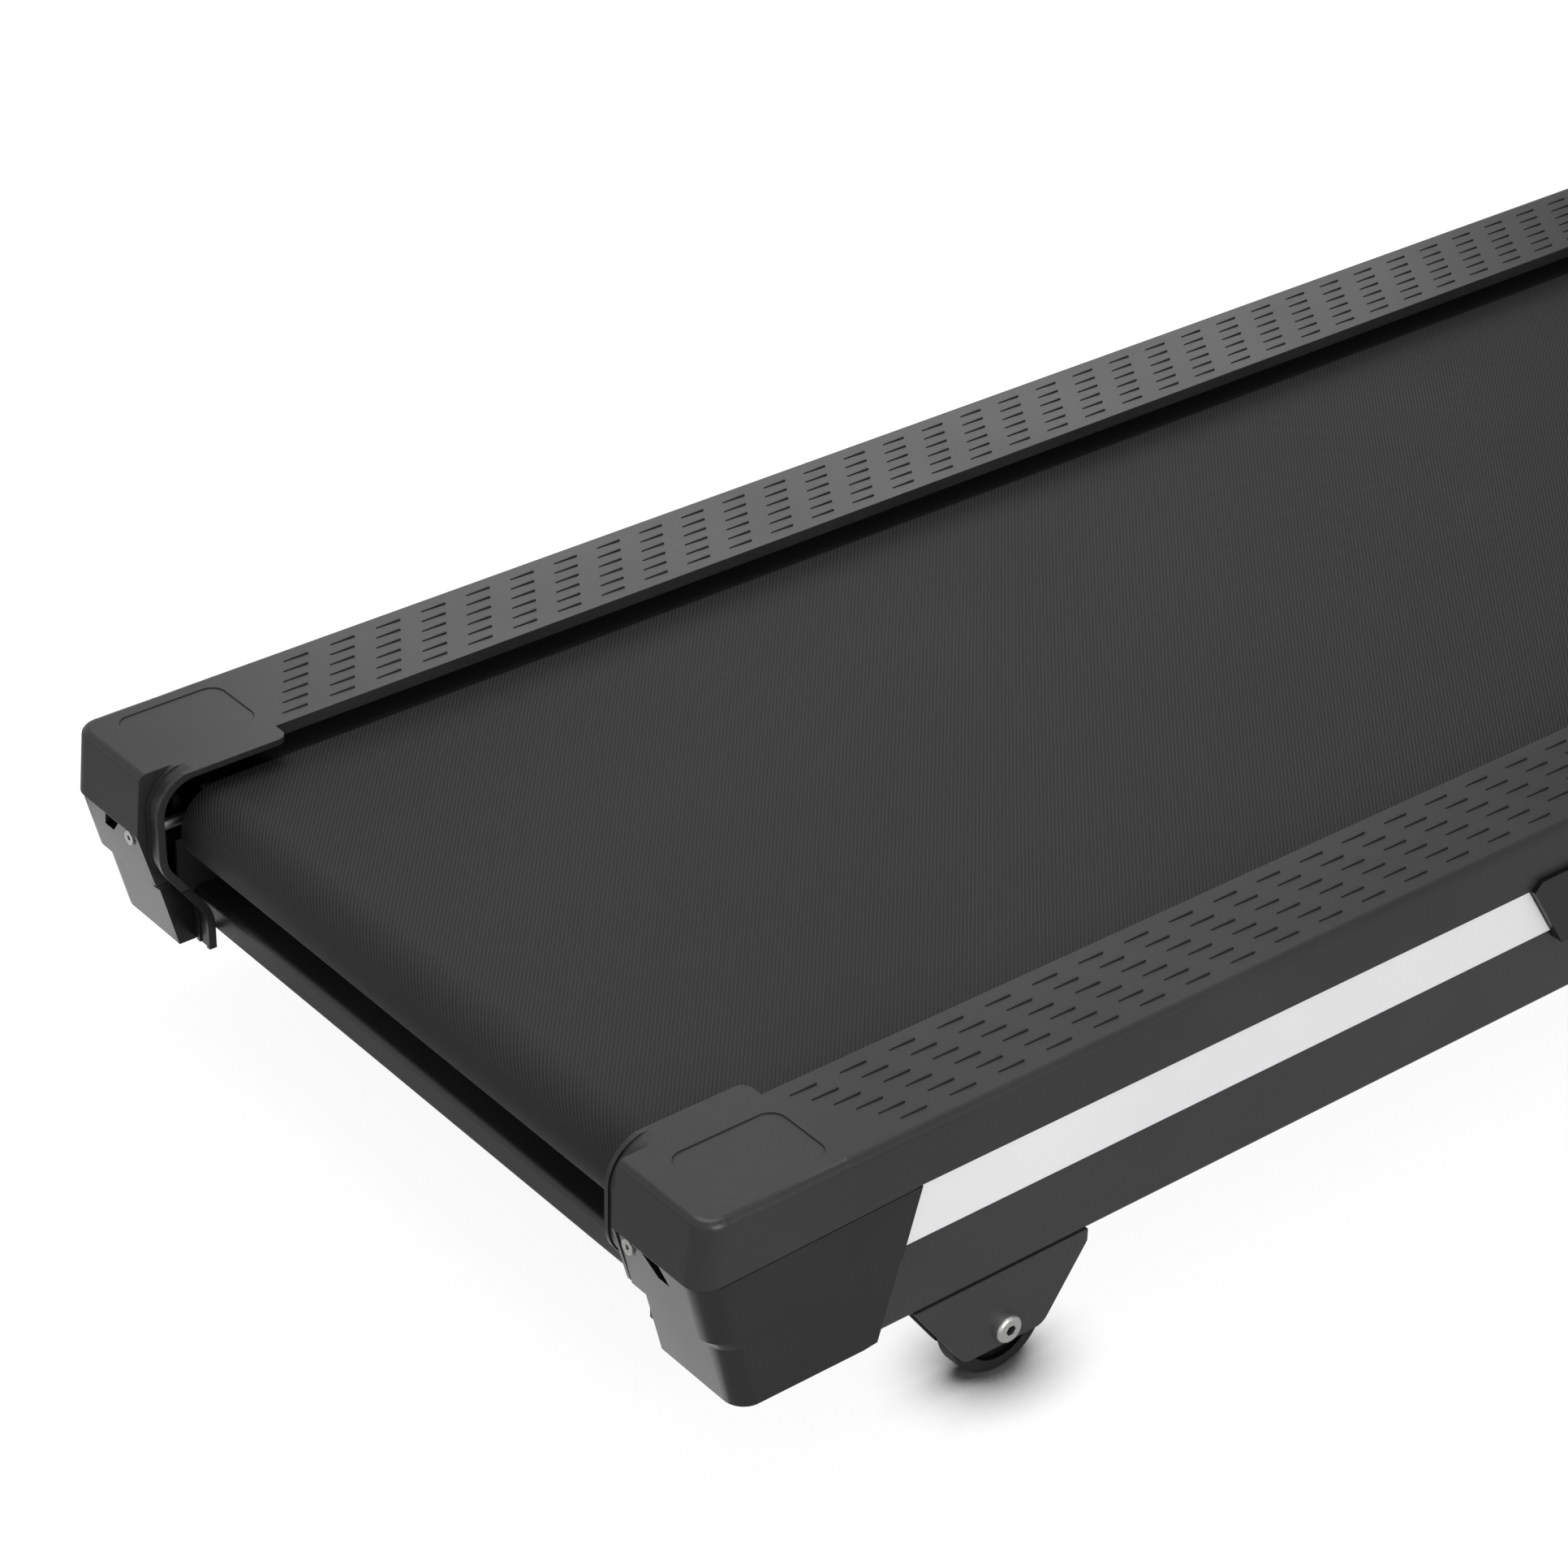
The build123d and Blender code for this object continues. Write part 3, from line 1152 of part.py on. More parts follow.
with BuildPart() as upright_cover_right:
    with BuildSketch(Plane.XY.offset(base_top_z), mode=Mode.PRIVATE) as boot_foot:
        with Locations((base_tube_x, upright_y)):
            RectangleRounded(upright_width + 2 * cover_width_gain, cover_depth, upright_corner)
    with BuildSketch(Plane.XY.offset(base_top_z + cover_height), mode=Mode.PRIVATE) as boot_neck:
        with Locations((base_tube_x, upright_y - upright_lean * cover_height)):
            RectangleRounded(upright_width + 2 * cover_width_gain - cover_width_gain,
                             upright_depth + cover_top_gain, upright_corner)
    loft(sections=[boot_foot.sketch, boot_neck.sketch], ruled=True)
    extrude(upright_section(base_top_z, seat_gap), amount=2 * cover_height * lean_scale,
            dir=lean_direction, mode=Mode.SUBTRACT)
save(pair(upright_cover_right.part), "upright_covers")

with BuildPart() as end_plug_right:
    extrude(upright_section(upright_top_z, 0), amount=plug_height * lean_scale, dir=lean_direction)
    fillet(end_plug_right.faces().sort_by(Axis.Z)[-1].edges(), plug_height / 3)
    with BuildSketch(Plane.XZ.offset(-base_rear_y)):
        with Locations((base_tube_x, base_tube_z)):
            RectangleRounded(base_tube_width, base_tube_height, tube_corner)
    extrude(amount=base_plug_length)
save(pair(end_plug_right.part), "tube_end_plugs")

# Handrails with foam grips
handrail_root_y = upright_y - upright_lean * (handrail_z - base_top_z)
with BuildPart() as handrail_right:
    with BuildLine(Plane.YZ.offset(base_tube_x)) as handrail_path:
        FilletPolyline((handrail_root_y, handrail_z), (handrail_bend_y, handrail_z),
                       (handrail_end_y, handrail_z - handrail_fall), radius=handrail_bend_radius)
    with BuildSketch(Plane.XZ.offset(-handrail_root_y)):
        with Locations((base_tube_x, handrail_z)):
            Circle(handrail_radius)
    sweep(path=handrail_path.line)
    extrude(upright_section(base_top_z, 0), amount=upright_height * lean_scale, dir=lean_direction,
            mode=Mode.SUBTRACT)
save(handrail_right.part, "handrail_right")
save(mirrored(handrail_right.part), "handrail_left")

with BuildPart() as handrail_grip_right:
    grip_front_y = handrail_root_y - upright_depth / 2 - grip_front_inset
    handrail_turn = math.atan2(handrail_fall, handrail_bend_y - handrail_end_y)
    grip_rear_y = handrail_bend_y + handrail_bend_radius * math.tan(handrail_turn / 2) + grip_rear_inset
    with BuildSketch(Plane.XZ.offset(-grip_front_y)):
        with Locations((base_tube_x, handrail_z)):
            Circle(handrail_radius + grip_thickness)
            Circle(handrail_radius + running_gap, mode=Mode.SUBTRACT)
    extrude(amount=grip_front_y - grip_rear_y)
save(pair(handrail_grip_right.part), "handrail_grips")

# Console between the uprights, on a tilted plane that faces the runner
tilt = math.radians(console_tilt)
console_normal = Vector(0, -math.sin(tilt), math.cos(tilt))
console_face = Plane(origin=(0, console_y, console_z), x_dir=(1, 0, 0), z_dir=console_normal)
button_places = [(-1.5 * button_spread, button_drop), (-0.75 * button_spread, button_drop),
                 (0.75 * button_spread, button_drop), (1.5 * button_spread, button_drop)]
key_place = (0, key_drop)

with BuildPart() as console_shell:
    with BuildSketch(console_face):
        RectangleRounded(2 * console_half_width, console_height, console_corner)
    extrude(amount=-console_shell_depth)
    shell_front = console_shell.faces().sort_by(Axis(console_face.origin, console_normal))[-1]
    fillet(shell_front.edges(), console_edge)
    with BuildSketch(console_face):
        with Locations((0, display_rise)):
            RectangleRounded(display_width, display_height, display_corner)
    extrude(amount=-display_depth, mode=Mode.SUBTRACT)
    with BuildSketch(console_face):
        with Locations(*button_places):
            Circle(button_radius + button_gap)
    extrude(amount=-(button_length + button_travel + button_gap - button_proud), mode=Mode.SUBTRACT)
    with BuildSketch(console_face):
        with Locations(key_place):
            Circle(key_stem_radius + key_gap)
    extrude(amount=-(key_stem_length + seat_gap), mode=Mode.SUBTRACT)
save(console_shell.part, "console_shell")

with BuildPart() as console_back:
    with BuildSketch(console_face.offset(-console_shell_depth), mode=Mode.PRIVATE) as back_rim:
        RectangleRounded(2 * console_half_width, console_height, console_corner)
    with BuildSketch(console_face.offset(-console_shell_depth - console_back_depth),
                     mode=Mode.PRIVATE) as back_face:
        RectangleRounded(2 * (console_half_width - console_back_inset),
                         console_height - 2 * console_back_inset, console_corner)
    loft(sections=[back_rim.sketch, back_face.sketch], ruled=True)
save(console_back.part, "console_back")

with BuildPart() as display_lens:
    with BuildSketch(console_face.offset(-display_depth)):
        with Locations((0, display_rise)):
            RectangleRounded(display_width - 2 * display_gap, display_height - 2 * display_gap,
                             display_corner - display_gap)
    extrude(amount=display_depth - display_gap)
save(display_lens.part, "display_lens")

# Buttons that travel into the shell, and the safety key that pulls out of it
button_names = ("stop_button", "slower_button", "faster_button", "start_button")
for button_name, place in zip(button_names, button_places):
    with BuildPart() as button:
        with BuildSketch(console_face.offset(button_proud)):
            with Locations(place):
                Circle(button_radius)
        extrude(amount=-button_length)
        button_top = button.faces().sort_by(Axis(console_face.origin, console_normal))[-1]
        fillet(button_top.edges(), button_edge)
    save(button.part, button_name)

with BuildPart() as safety_key:
    with BuildSketch(console_face):
        with Locations(key_place):
            Circle(key_radius)
    extrude(amount=key_height)
    key_top = safety_key.faces().sort_by(Axis(console_face.origin, console_normal))[-1]
    fillet(key_top.edges(), key_height / 3)
    with BuildSketch(console_face):
        with Locations(key_place):
            Circle(key_stem_radius)
    extrude(amount=-key_stem_length)
save(safety_key.part, "safety_key")

# Tray below the console with two cup wells
with BuildPart() as console_tray:
    with BuildSketch(Plane.XY.offset(tray_z)):
        with Locations((0, tray_y)):
            RectangleRounded(2 * console_half_width, tray_depth, tray_corner)
    extrude(amount=tray_height)
    fillet(console_tray.faces().sort_by(Axis.Z)[-1].edges(), console_edge / 2)
    with BuildSketch(Plane.XY.offset(tray_z + tray_height)):
        with Locations((cup_x, tray_y + cup_forward), (-cup_x, tray_y + cup_forward)):
            Circle(cup_radius)
    extrude(amount=-cup_depth, mode=Mode.SUBTRACT)
save(console_tray.part, "console_tray")

print("motor pulley turns", round(motor_pulley_ratio, 4), "times for each turn of the front roller")
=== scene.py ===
# %% [markdown]
# # A folding treadmill, dressed for its portrait
#
# The solids of this treadmill come from a CAD model. This lesson loads them as a fixed frame and gives
# them what a photograph shows and a solid can't: finishes, the ribbed belt, the grip marks on the foot
# rails, the small fasteners, and the light. Everything is in metres, with X to the runner's right,
# Y towards the console and Z up.

# %% Load the frame
import json
import math

import bmesh
import bpy
from mathutils import Matrix, Vector


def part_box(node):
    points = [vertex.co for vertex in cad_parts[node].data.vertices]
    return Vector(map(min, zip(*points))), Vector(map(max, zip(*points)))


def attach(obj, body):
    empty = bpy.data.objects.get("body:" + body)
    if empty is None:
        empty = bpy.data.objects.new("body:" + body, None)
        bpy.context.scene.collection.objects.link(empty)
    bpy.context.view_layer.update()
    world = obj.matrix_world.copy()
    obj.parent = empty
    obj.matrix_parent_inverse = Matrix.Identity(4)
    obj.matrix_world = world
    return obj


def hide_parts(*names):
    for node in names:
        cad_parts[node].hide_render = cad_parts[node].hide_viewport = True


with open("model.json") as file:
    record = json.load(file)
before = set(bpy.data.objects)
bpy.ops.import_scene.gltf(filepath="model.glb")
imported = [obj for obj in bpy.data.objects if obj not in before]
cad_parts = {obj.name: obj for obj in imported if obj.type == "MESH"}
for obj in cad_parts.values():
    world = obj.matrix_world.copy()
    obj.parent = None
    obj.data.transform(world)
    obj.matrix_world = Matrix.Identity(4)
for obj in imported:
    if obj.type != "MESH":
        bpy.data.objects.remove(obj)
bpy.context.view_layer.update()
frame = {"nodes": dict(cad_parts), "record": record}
nodes = frame["nodes"]

# %% [markdown]
# ## The camera
#
# The photograph looks down on the rear right corner from about 32 degrees above the floor with a long
# lens, and it leans by about one degree. The grip marks on the two rails repeat at even steps, which is
# enough to work out where the camera stood. A long lens far away could be guessed by eye, but then every
# edge of the render would drift from its place in the photograph.

# %% Camera
camera_data = bpy.data.cameras.new("studio_camera")
camera_data.sensor_width = 36.0
camera_data.lens = 101.27
camera_data.clip_end = 100.0
camera = bpy.data.objects.new("studio_camera", camera_data)
camera.location = (1.6780, -1.9541, 1.5649)
camera.rotation_euler = [math.radians(angle) for angle in (57.8912, -1.1172, 51.3271)]
bpy.context.scene.collection.objects.link(camera)
bpy.context.scene.camera = camera
print("camera", round(camera.location.length, 3), "m from the origin, lens", camera_data.lens, "mm")

# %% [markdown]
# ## Helpers for materials
#
# Colours are written as the hex values that a screen shows, and one function turns them to the linear
# values that the renderer mixes. One more function adds a shader node, sets it and links it, so that
# each material below reads as a list of what it is made of.

# %% Colour and node helpers
def linear(hex_colour):
    """A screen colour such as "#404040" as linear red, green, blue and alpha."""
    shares = [int(hex_colour[place:place + 2], 16) / 255 for place in (1, 3, 5)]
    return [s / 12.92 if s <= 0.04045 else ((s + 0.055) / 1.055) ** 2.4 for s in shares] + [1.0]


def add_node(material, kind, inputs=None, **settings):
    """Add one node, with its settings, and with values or other nodes' outputs on its inputs."""
    tree = material.node_tree
    made = tree.nodes.new(kind)
    for name, value in settings.items():
        setattr(made, name, value)
    for socket, value in (inputs or {}).items():
        if isinstance(value, bpy.types.NodeSocket):
            tree.links.new(value, made.inputs[socket])
        else:
            made.inputs[socket].default_value = value
    return made


def new_material(name, colour, roughness, metallic=0.0, **sockets):
    """A material with its constant values on the shader's own sockets. Returns it and its shader."""
    material = bpy.data.materials.new(name)
    material.use_nodes = True
    material.diffuse_color = linear(colour)
    material.metallic = metallic
    material.roughness = roughness
    shader = material.node_tree.nodes["Principled BSDF"]
    values = {"Base Color": linear(colour), "Roughness": roughness, "Metallic": metallic, **sockets}
    for socket, value in values.items():
        shader.inputs[socket].default_value = value
    return material, shader


def wire(material, shader, **links):
    """Link other nodes' outputs to the shader: Base_Color=..., Roughness=..., Normal=..."""
    for socket, output in links.items():
        material.node_tree.links.new(output, shader.inputs[socket.replace("_", " ")])


print("screen grey #808080 is", round(linear("#808080")[0], 3), "in linear light")

# %% [markdown]
# ## Moulded plastic
#
# The foot rails, caps, hood and console are injection moulded in polypropylene and ABS. The mould is
# spark eroded, which leaves a grain of about half a millimetre that breaks up the highlight. A plain
# colour would look like paint, so noise moves the colour by a few levels, the roughness by a few
# hundredths, and a fine bump stands for the grain. The real edges are rounded by the mould; a bevel
# node bends the normals over the last half millimetre, which gives each edge its thin line of light.
# In nooks, such as seams and the sides that face the belt, there is little to mirror, so an ambient
# occlusion node takes the shine down there.

# %% Moulded plastic
NOOK_REACH = 0.03
NOOK_CLOSED, NOOK_OPEN = 0.45, 0.9  # how open a place is, from the occlusion node
NOOK_SHINE, OPEN_SHINE = 0.04, 0.5
GRAIN_SHARE, GRAIN_DEPTH, GRAIN_ROUGHENS = 0.35, 0.0006, 0.05


def moulded(name, dark, light, roughness, grain_mm=1.2, edge_mm=0.6, bump=0.06):
    """Plastic from a spark-textured mould. The grain is drawn about twice its real size to show."""
    material, shader = new_material(name, light, roughness, IOR=1.49)
    place = add_node(material, "ShaderNodeTexCoord").outputs["Object"]
    cloud = add_node(material, "ShaderNodeTexNoise", {"Vector": place, "Scale": 9.0, "Detail": 4.0})
    grain = add_node(material, "ShaderNodeTexNoise",
                     {"Vector": place, "Scale": 1000 / grain_mm, "Detail": 2.0})
    mixed = add_node(material, "ShaderNodeMix",
                     {"Factor": GRAIN_SHARE, "A": cloud.outputs["Fac"], "B": grain.outputs["Fac"]})
    ramp = add_node(material, "ShaderNodeValToRGB", {"Fac": mixed.outputs["Result"]})
    ramp.color_ramp.elements[0].position = 0.36
    ramp.color_ramp.elements[0].color = linear(dark)
    ramp.color_ramp.elements[1].position = 0.64
    ramp.color_ramp.elements[1].color = linear(light)
    rough = add_node(material, "ShaderNodeMapRange", {
        "Value": mixed.outputs["Result"], "From Min": 0.3, "From Max": 0.7,
        "To Min": roughness - GRAIN_ROUGHENS, "To Max": roughness + GRAIN_ROUGHENS})
    rounded = add_node(material, "ShaderNodeBevel", {"Radius": edge_mm / 1000}, samples=4)
    pitted = add_node(material, "ShaderNodeBump", {
        "Height": grain.outputs["Fac"], "Strength": bump, "Distance": GRAIN_DEPTH,
        "Normal": rounded.outputs["Normal"]})
    nook = add_node(material, "ShaderNodeAmbientOcclusion", {"Distance": NOOK_REACH}, samples=6)
    shine = add_node(material, "ShaderNodeMapRange", {
        "Value": nook.outputs["AO"], "From Min": NOOK_CLOSED, "From Max": NOOK_OPEN,
        "To Min": NOOK_SHINE, "To Max": OPEN_SHINE})
    wire(material, shader, Base_Color=ramp.outputs["Color"], Roughness=rough.outputs["Result"],
         Normal=pitted.outputs["Normal"], Specular_IOR_Level=shine.outputs["Result"])
    return material


# Semi-matte rail plastic: dark grey with a soft sheen along its edges
rail_plastic = moulded("moulded_polypropylene_dark_grey", "#262627", "#2e2e2f", 0.36)
# The side plates take this darker grey as their own colour; on the rear caps the same darker copy of the
# rail plastic is painted shade
plate_plastic_and_cap_shade = moulded("moulded_polypropylene_plate_grey_and_cap_shade", "#161617", "#1d1d1e", 0.32)
# Hood, boots and console: ABS, a little finer in grain
hood_plastic = moulded("moulded_abs_hood_grey", "#202022", "#28282a", 0.42, 0.9, 1.2)
console_plastic = moulded("moulded_abs_console_black", "#19191b", "#202022", 0.44, 0.9, 1.0)
# Nylon wheels: close to black, drier to the eye than the rails
wheel_nylon = moulded("moulded_nylon_black", "#0b0b0c", "#111112", 0.5, 1.5)
# Gloss ABS for the buttons, the key and the mains inlet
stop_abs = moulded("moulded_gloss_abs_red", "#a51712", "#b81d17", 0.28, 0.8, 0.5, 0.02)
start_abs = moulded("moulded_gloss_abs_green", "#1d7a35", "#248a3d", 0.28, 0.8, 0.5, 0.02)
button_abs = moulded("moulded_gloss_abs_grey", "#8b8c8f", "#97989b", 0.30, 0.8, 0.5, 0.02)
inlet_abs = moulded("moulded_gloss_abs_black", "#161617", "#1d1d1e", 0.25, 0.8, 0.5, 0.02)
print("moulded plastics:", sum("moulded" in m.name for m in bpy.data.materials))

# %% [markdown]
# ## Powder coat
#
# The steel frame, the uprights and the base are powder coated: paint is blown on dry and baked, and it
# flows into a skin with a slight orange peel a couple of millimetres across. Two noises do it, a fine
# one for the peel and a broad one that moves the colour a little.

# %% Powder coat
PEEL_DEPTH = 0.0008


def powder_coat(name, dark, light, roughness, peel_mm=2.2):
    """Baked powder paint on steel, with the orange peel that baking leaves."""
    material, shader = new_material(name, light, roughness, IOR=1.5)
    place = add_node(material, "ShaderNodeTexCoord").outputs["Object"]
    peel = add_node(material, "ShaderNodeTexNoise",
                    {"Vector": place, "Scale": 1000 / peel_mm, "Detail": 1.0})
    cloud = add_node(material, "ShaderNodeTexNoise", {"Vector": place, "Scale": 6.0, "Detail": 5.0})
    ramp = add_node(material, "ShaderNodeValToRGB", {"Fac": cloud.outputs["Fac"]})
    ramp.color_ramp.elements[0].position = 0.35
    ramp.color_ramp.elements[0].color = linear(dark)
    ramp.color_ramp.elements[1].position = 0.65
    ramp.color_ramp.elements[1].color = linear(light)
    rounded = add_node(material, "ShaderNodeBevel", {"Radius": 0.0008}, samples=4)
    skin = add_node(material, "ShaderNodeBump", {
        "Height": peel.outputs["Fac"], "Strength": 0.08, "Distance": PEEL_DEPTH,
        "Normal": rounded.outputs["Normal"]})
    wire(material, shader, Base_Color=ramp.outputs["Color"], Normal=skin.outputs["Normal"])
    return material


frame_coat = powder_coat("powder_coat_charcoal", "#2c2c2d", "#343435", 0.42)
motor_coat = powder_coat("powder_coat_motor_black", "#151515", "#1c1c1c", 0.5, 1.5)
# The silver strips are lacquered: almost white, with a soft satin and no mirror in it
strip_silver = powder_coat("lacquer_satin_silver", "#e2e2e3", "#e8e8e8", 0.38, 3.0)
print("paints:", frame_coat.name, motor_coat.name, strip_silver.name)

# %% [markdown]
# ## Bare metals
#
# Bolts are zinc plated, rollers are ground, the controller's heat sink is extruded. What tells them
# apart is the direction of their fine marks: none on zinc, round the axis on a ground roller, along the
# fins on an extrusion. Stretched noise gives each its direction. All keep the default IOR, because a
# metal's colour sets its shine.

# %% Bare metals
MARK_DEPTH, MARK_ROUGHENS = 0.0003, 0.08


def bare_metal(name, dark, light, roughness, stretch, mark_mm=0.8):
    """Metal with fine marks; stretch shortens the noise along X, Y and Z to give them a direction."""
    material, shader = new_material(name, light, roughness, metallic=1.0)
    place = add_node(material, "ShaderNodeTexCoord").outputs["Object"]
    turned = add_node(material, "ShaderNodeMapping", {"Vector": place, "Scale": stretch})
    marks = add_node(material, "ShaderNodeTexNoise",
                     {"Vector": turned.outputs["Vector"], "Scale": 1000 / mark_mm, "Detail": 3.0})
    ramp = add_node(material, "ShaderNodeValToRGB", {"Fac": marks.outputs["Fac"]})
    ramp.color_ramp.elements[0].position = 0.3
    ramp.color_ramp.elements[0].color = linear(dark)
    ramp.color_ramp.elements[1].position = 0.7
    ramp.color_ramp.elements[1].color = linear(light)
    rough = add_node(material, "ShaderNodeMapRange", {
        "Value": marks.outputs["Fac"], "To Min": roughness - MARK_ROUGHENS,
        "To Max": roughness + MARK_ROUGHENS})
    rounded = add_node(material, "ShaderNodeBevel", {"Radius": 0.0004}, samples=4)
    scratched = add_node(material, "ShaderNodeBump", {
        "Height": marks.outputs["Fac"], "Strength": 0.05, "Distance": MARK_DEPTH,
        "Normal": rounded.outputs["Normal"]})
    wire(material, shader, Base_Color=ramp.outputs["Color"], Roughness=rough.outputs["Result"],
         Normal=scratched.outputs["Normal"])
    return material


zinc_plate = bare_metal("zinc_plated_steel", "#cfd0cd", "#e4e5e2", 0.36, (1, 1, 1))
ground_steel = bare_metal("ground_steel", "#8e8f90", "#a5a6a7", 0.34, (1, 0.1, 0.1))
bearing_steel = bare_metal("polished_bearing_steel", "#a3a4a5", "#b5b6b7", 0.22, (1, 0.2, 0.2))
turned_iron = bare_metal("turned_cast_iron", "#4a4a4b", "#5c5c5d", 0.5, (1, 0.3, 0.3))
# Near-black steel, used only for parts in the dark gap behind the guards, where it paints the shade
gap_shade_black_steel = bare_metal("black_steel_painted_gap_shade", "#0b0b0b", "#111111", 0.7, (1, 1, 1), 1.5)
extruded_alloy = bare_metal("extruded_aluminium", "#a9abae", "#bcbec0", 0.36, (1, 0.05, 1))
print("metals:", sum(m.metallic == 1 for m in bpy.data.materials))

# %% [markdown]
# ## Rubber, foam, board and window
#
# Rubber scatters light and has almost no gloss. The hand grips are closed-cell foam, whose skin shows
# small round cells, which a Voronoi pattern draws. The deck board is fibreboard with a black waxed face
# that the belt slides on, and the pressed fibres below it lie along the machine. The display window is
# dark acrylic with a polished coat.

# %% Rubber, foam, board and window
CELL_DEPTH = 0.0008


def rubber(name, dark, light, roughness, cell_mm, bump):
    """Matte rubber or foam with round cells of the given size."""
    material, shader = new_material(name, light, roughness, IOR=1.45)
    place = add_node(material, "ShaderNodeTexCoord").outputs["Object"]
    cells = add_node(material, "ShaderNodeTexVoronoi", {"Vector": place, "Scale": 1000 / cell_mm})
    ramp = add_node(material, "ShaderNodeValToRGB", {"Fac": cells.outputs["Distance"]})
    ramp.color_ramp.elements[0].color = linear(light)
    ramp.color_ramp.elements[1].color = linear(dark)
    rounded = add_node(material, "ShaderNodeBevel", {"Radius": 0.0008}, samples=4)
    skin = add_node(material, "ShaderNodeBump", {
        "Height": cells.outputs["Distance"], "Strength": bump, "Distance": CELL_DEPTH,
        "Normal": rounded.outputs["Normal"]})
    wire(material, shader, Base_Color=ramp.outputs["Color"], Normal=skin.outputs["Normal"])
    return material


foot_rubber = rubber("moulded_rubber_black", "#161616", "#1f1f1f", 0.75, 1.5, 0.1)
grip_foam = rubber("closed_cell_foam_black", "#19191a", "#262627", 0.85, 2.4, 0.45)
drive_rubber = rubber("ribbed_drive_belt_rubber", "#121212", "#1a1a1a", 0.6, 1.8, 0.1)

# The whole board, its fibres too, is near black: besides the black face, this paints the shade in the gap
# between the belt and the rails
deck_board, board_shader = new_material("phenolic_faced_fibreboard", "#090909", 0.75, IOR=1.4)
board_place = add_node(deck_board, "ShaderNodeTexCoord").outputs["Object"]
board_fibre = add_node(deck_board, "ShaderNodeMapping", {"Vector": board_place, "Scale": (1, 0.08, 1)})
board_noise = add_node(deck_board, "ShaderNodeTexNoise",
                       {"Vector": board_fibre.outputs["Vector"], "Scale": 260.0, "Detail": 6.0})
board_ramp = add_node(deck_board, "ShaderNodeValToRGB", {"Fac": board_noise.outputs["Fac"]})
board_ramp.color_ramp.elements[0].color = linear("#050505")
board_ramp.color_ramp.elements[1].color = linear("#0c0c0c")
board_bump = add_node(deck_board, "ShaderNodeBump",
                      {"Height": board_noise.outputs["Fac"], "Strength": 0.15, "Distance": 0.0005})
wire(deck_board, board_shader, Base_Color=board_ramp.outputs["Color"],
     Normal=board_bump.outputs["Normal"])

display_window, window_shader = new_material("polished_dark_acrylic", "#0b0d10", 0.08, IOR=1.49)
window_shader.inputs["Specular IOR Level"].default_value = 0.25
window_place = add_node(display_window, "ShaderNodeTexCoord").outputs["Object"]
window_smear = add_node(display_window, "ShaderNodeTexNoise",
                        {"Vector": window_place, "Scale": 14.0, "Detail": 3.0})
window_rough = add_node(display_window, "ShaderNodeMapRange", {
    "Value": window_smear.outputs["Fac"], "To Min": 0.05, "To Max": 0.13})
wire(display_window, window_shader, Roughness=window_rough.outputs["Result"])
print("soft finishes:", foot_rubber.name, grip_foam.name, drive_rubber.name)
print("deck and display:", deck_board.name, display_window.name)

# %% [markdown]
# ## The belt's finish
#
# A treadmill belt is a polyester fabric with a PVC top layer, and the top is embossed with a fine
# diagonal rib so that shoes don't slip. In the photograph the rib runs at close to 45 degrees, and the
# lines are a little over two millimetres apart. A wave pattern on the belt's own UV map draws it,
# because the map goes round the rollers with the belt, and a pattern on the object's coordinates would
# smear there.

# %% Belt finish
belt_pvc, belt_shader = new_material("embossed_pvc_belt", "#222222", 0.62, IOR=1.45)
belt_shader.inputs["Specular IOR Level"].default_value = 0.4
belt_map = add_node(belt_pvc, "ShaderNodeUVMap", uv_map="belt_metres").outputs["UV"]
RIB_SPACING, RIB_DEPTH = 0.0022, 0.0005
RIB_ANGLE = math.radians(-49)
WAVE_TURNS = 20  # the wave texture runs through 20 radians for each unit at a scale of 1
rib_turn = add_node(belt_pvc, "ShaderNodeMapping", {"Vector": belt_map, "Rotation": (0, 0, RIB_ANGLE)})
rib = add_node(belt_pvc, "ShaderNodeTexWave", {
    "Vector": rib_turn.outputs["Vector"], "Scale": 2 * math.pi / (WAVE_TURNS * RIB_SPACING),
    "Distortion": 0.6, "Detail": 1.0, "Detail Scale": 40.0}, wave_profile="SIN")
weave = add_node(belt_pvc, "ShaderNodeTexNoise", {"Vector": belt_map, "Scale": 900.0, "Detail": 2.0})
dust = add_node(belt_pvc, "ShaderNodeTexNoise", {"Vector": belt_map, "Scale": 5.0, "Detail": 5.0})
belt_mix = add_node(belt_pvc, "ShaderNodeMix", {
    "Factor": 0.3, "A": rib.outputs["Fac"], "B": weave.outputs["Fac"]})
# The rib wave also sets the colour: grooves darker and crests lighter, which is painted shade and light
# of the relief over its bump; the weave adds a little random tone
belt_ramp = add_node(belt_pvc, "ShaderNodeValToRGB", {"Fac": belt_mix.outputs["Result"]})
belt_ramp.color_ramp.elements[0].color = linear("#0b0b0b")
belt_ramp.color_ramp.elements[1].color = linear("#303030")
belt_rough = add_node(belt_pvc, "ShaderNodeMapRange", {
    "Value": dust.outputs["Fac"], "To Min": 0.58, "To Max": 0.70})
belt_bump = add_node(belt_pvc, "ShaderNodeBump",
                     {"Height": belt_mix.outputs["Result"], "Strength": 0.5, "Distance": RIB_DEPTH})
wire(belt_pvc, belt_shader, Base_Color=belt_ramp.outputs["Color"],
     Roughness=belt_rough.outputs["Result"], Normal=belt_bump.outputs["Normal"])
print("belt rib every", RIB_SPACING * 1000, "mm")
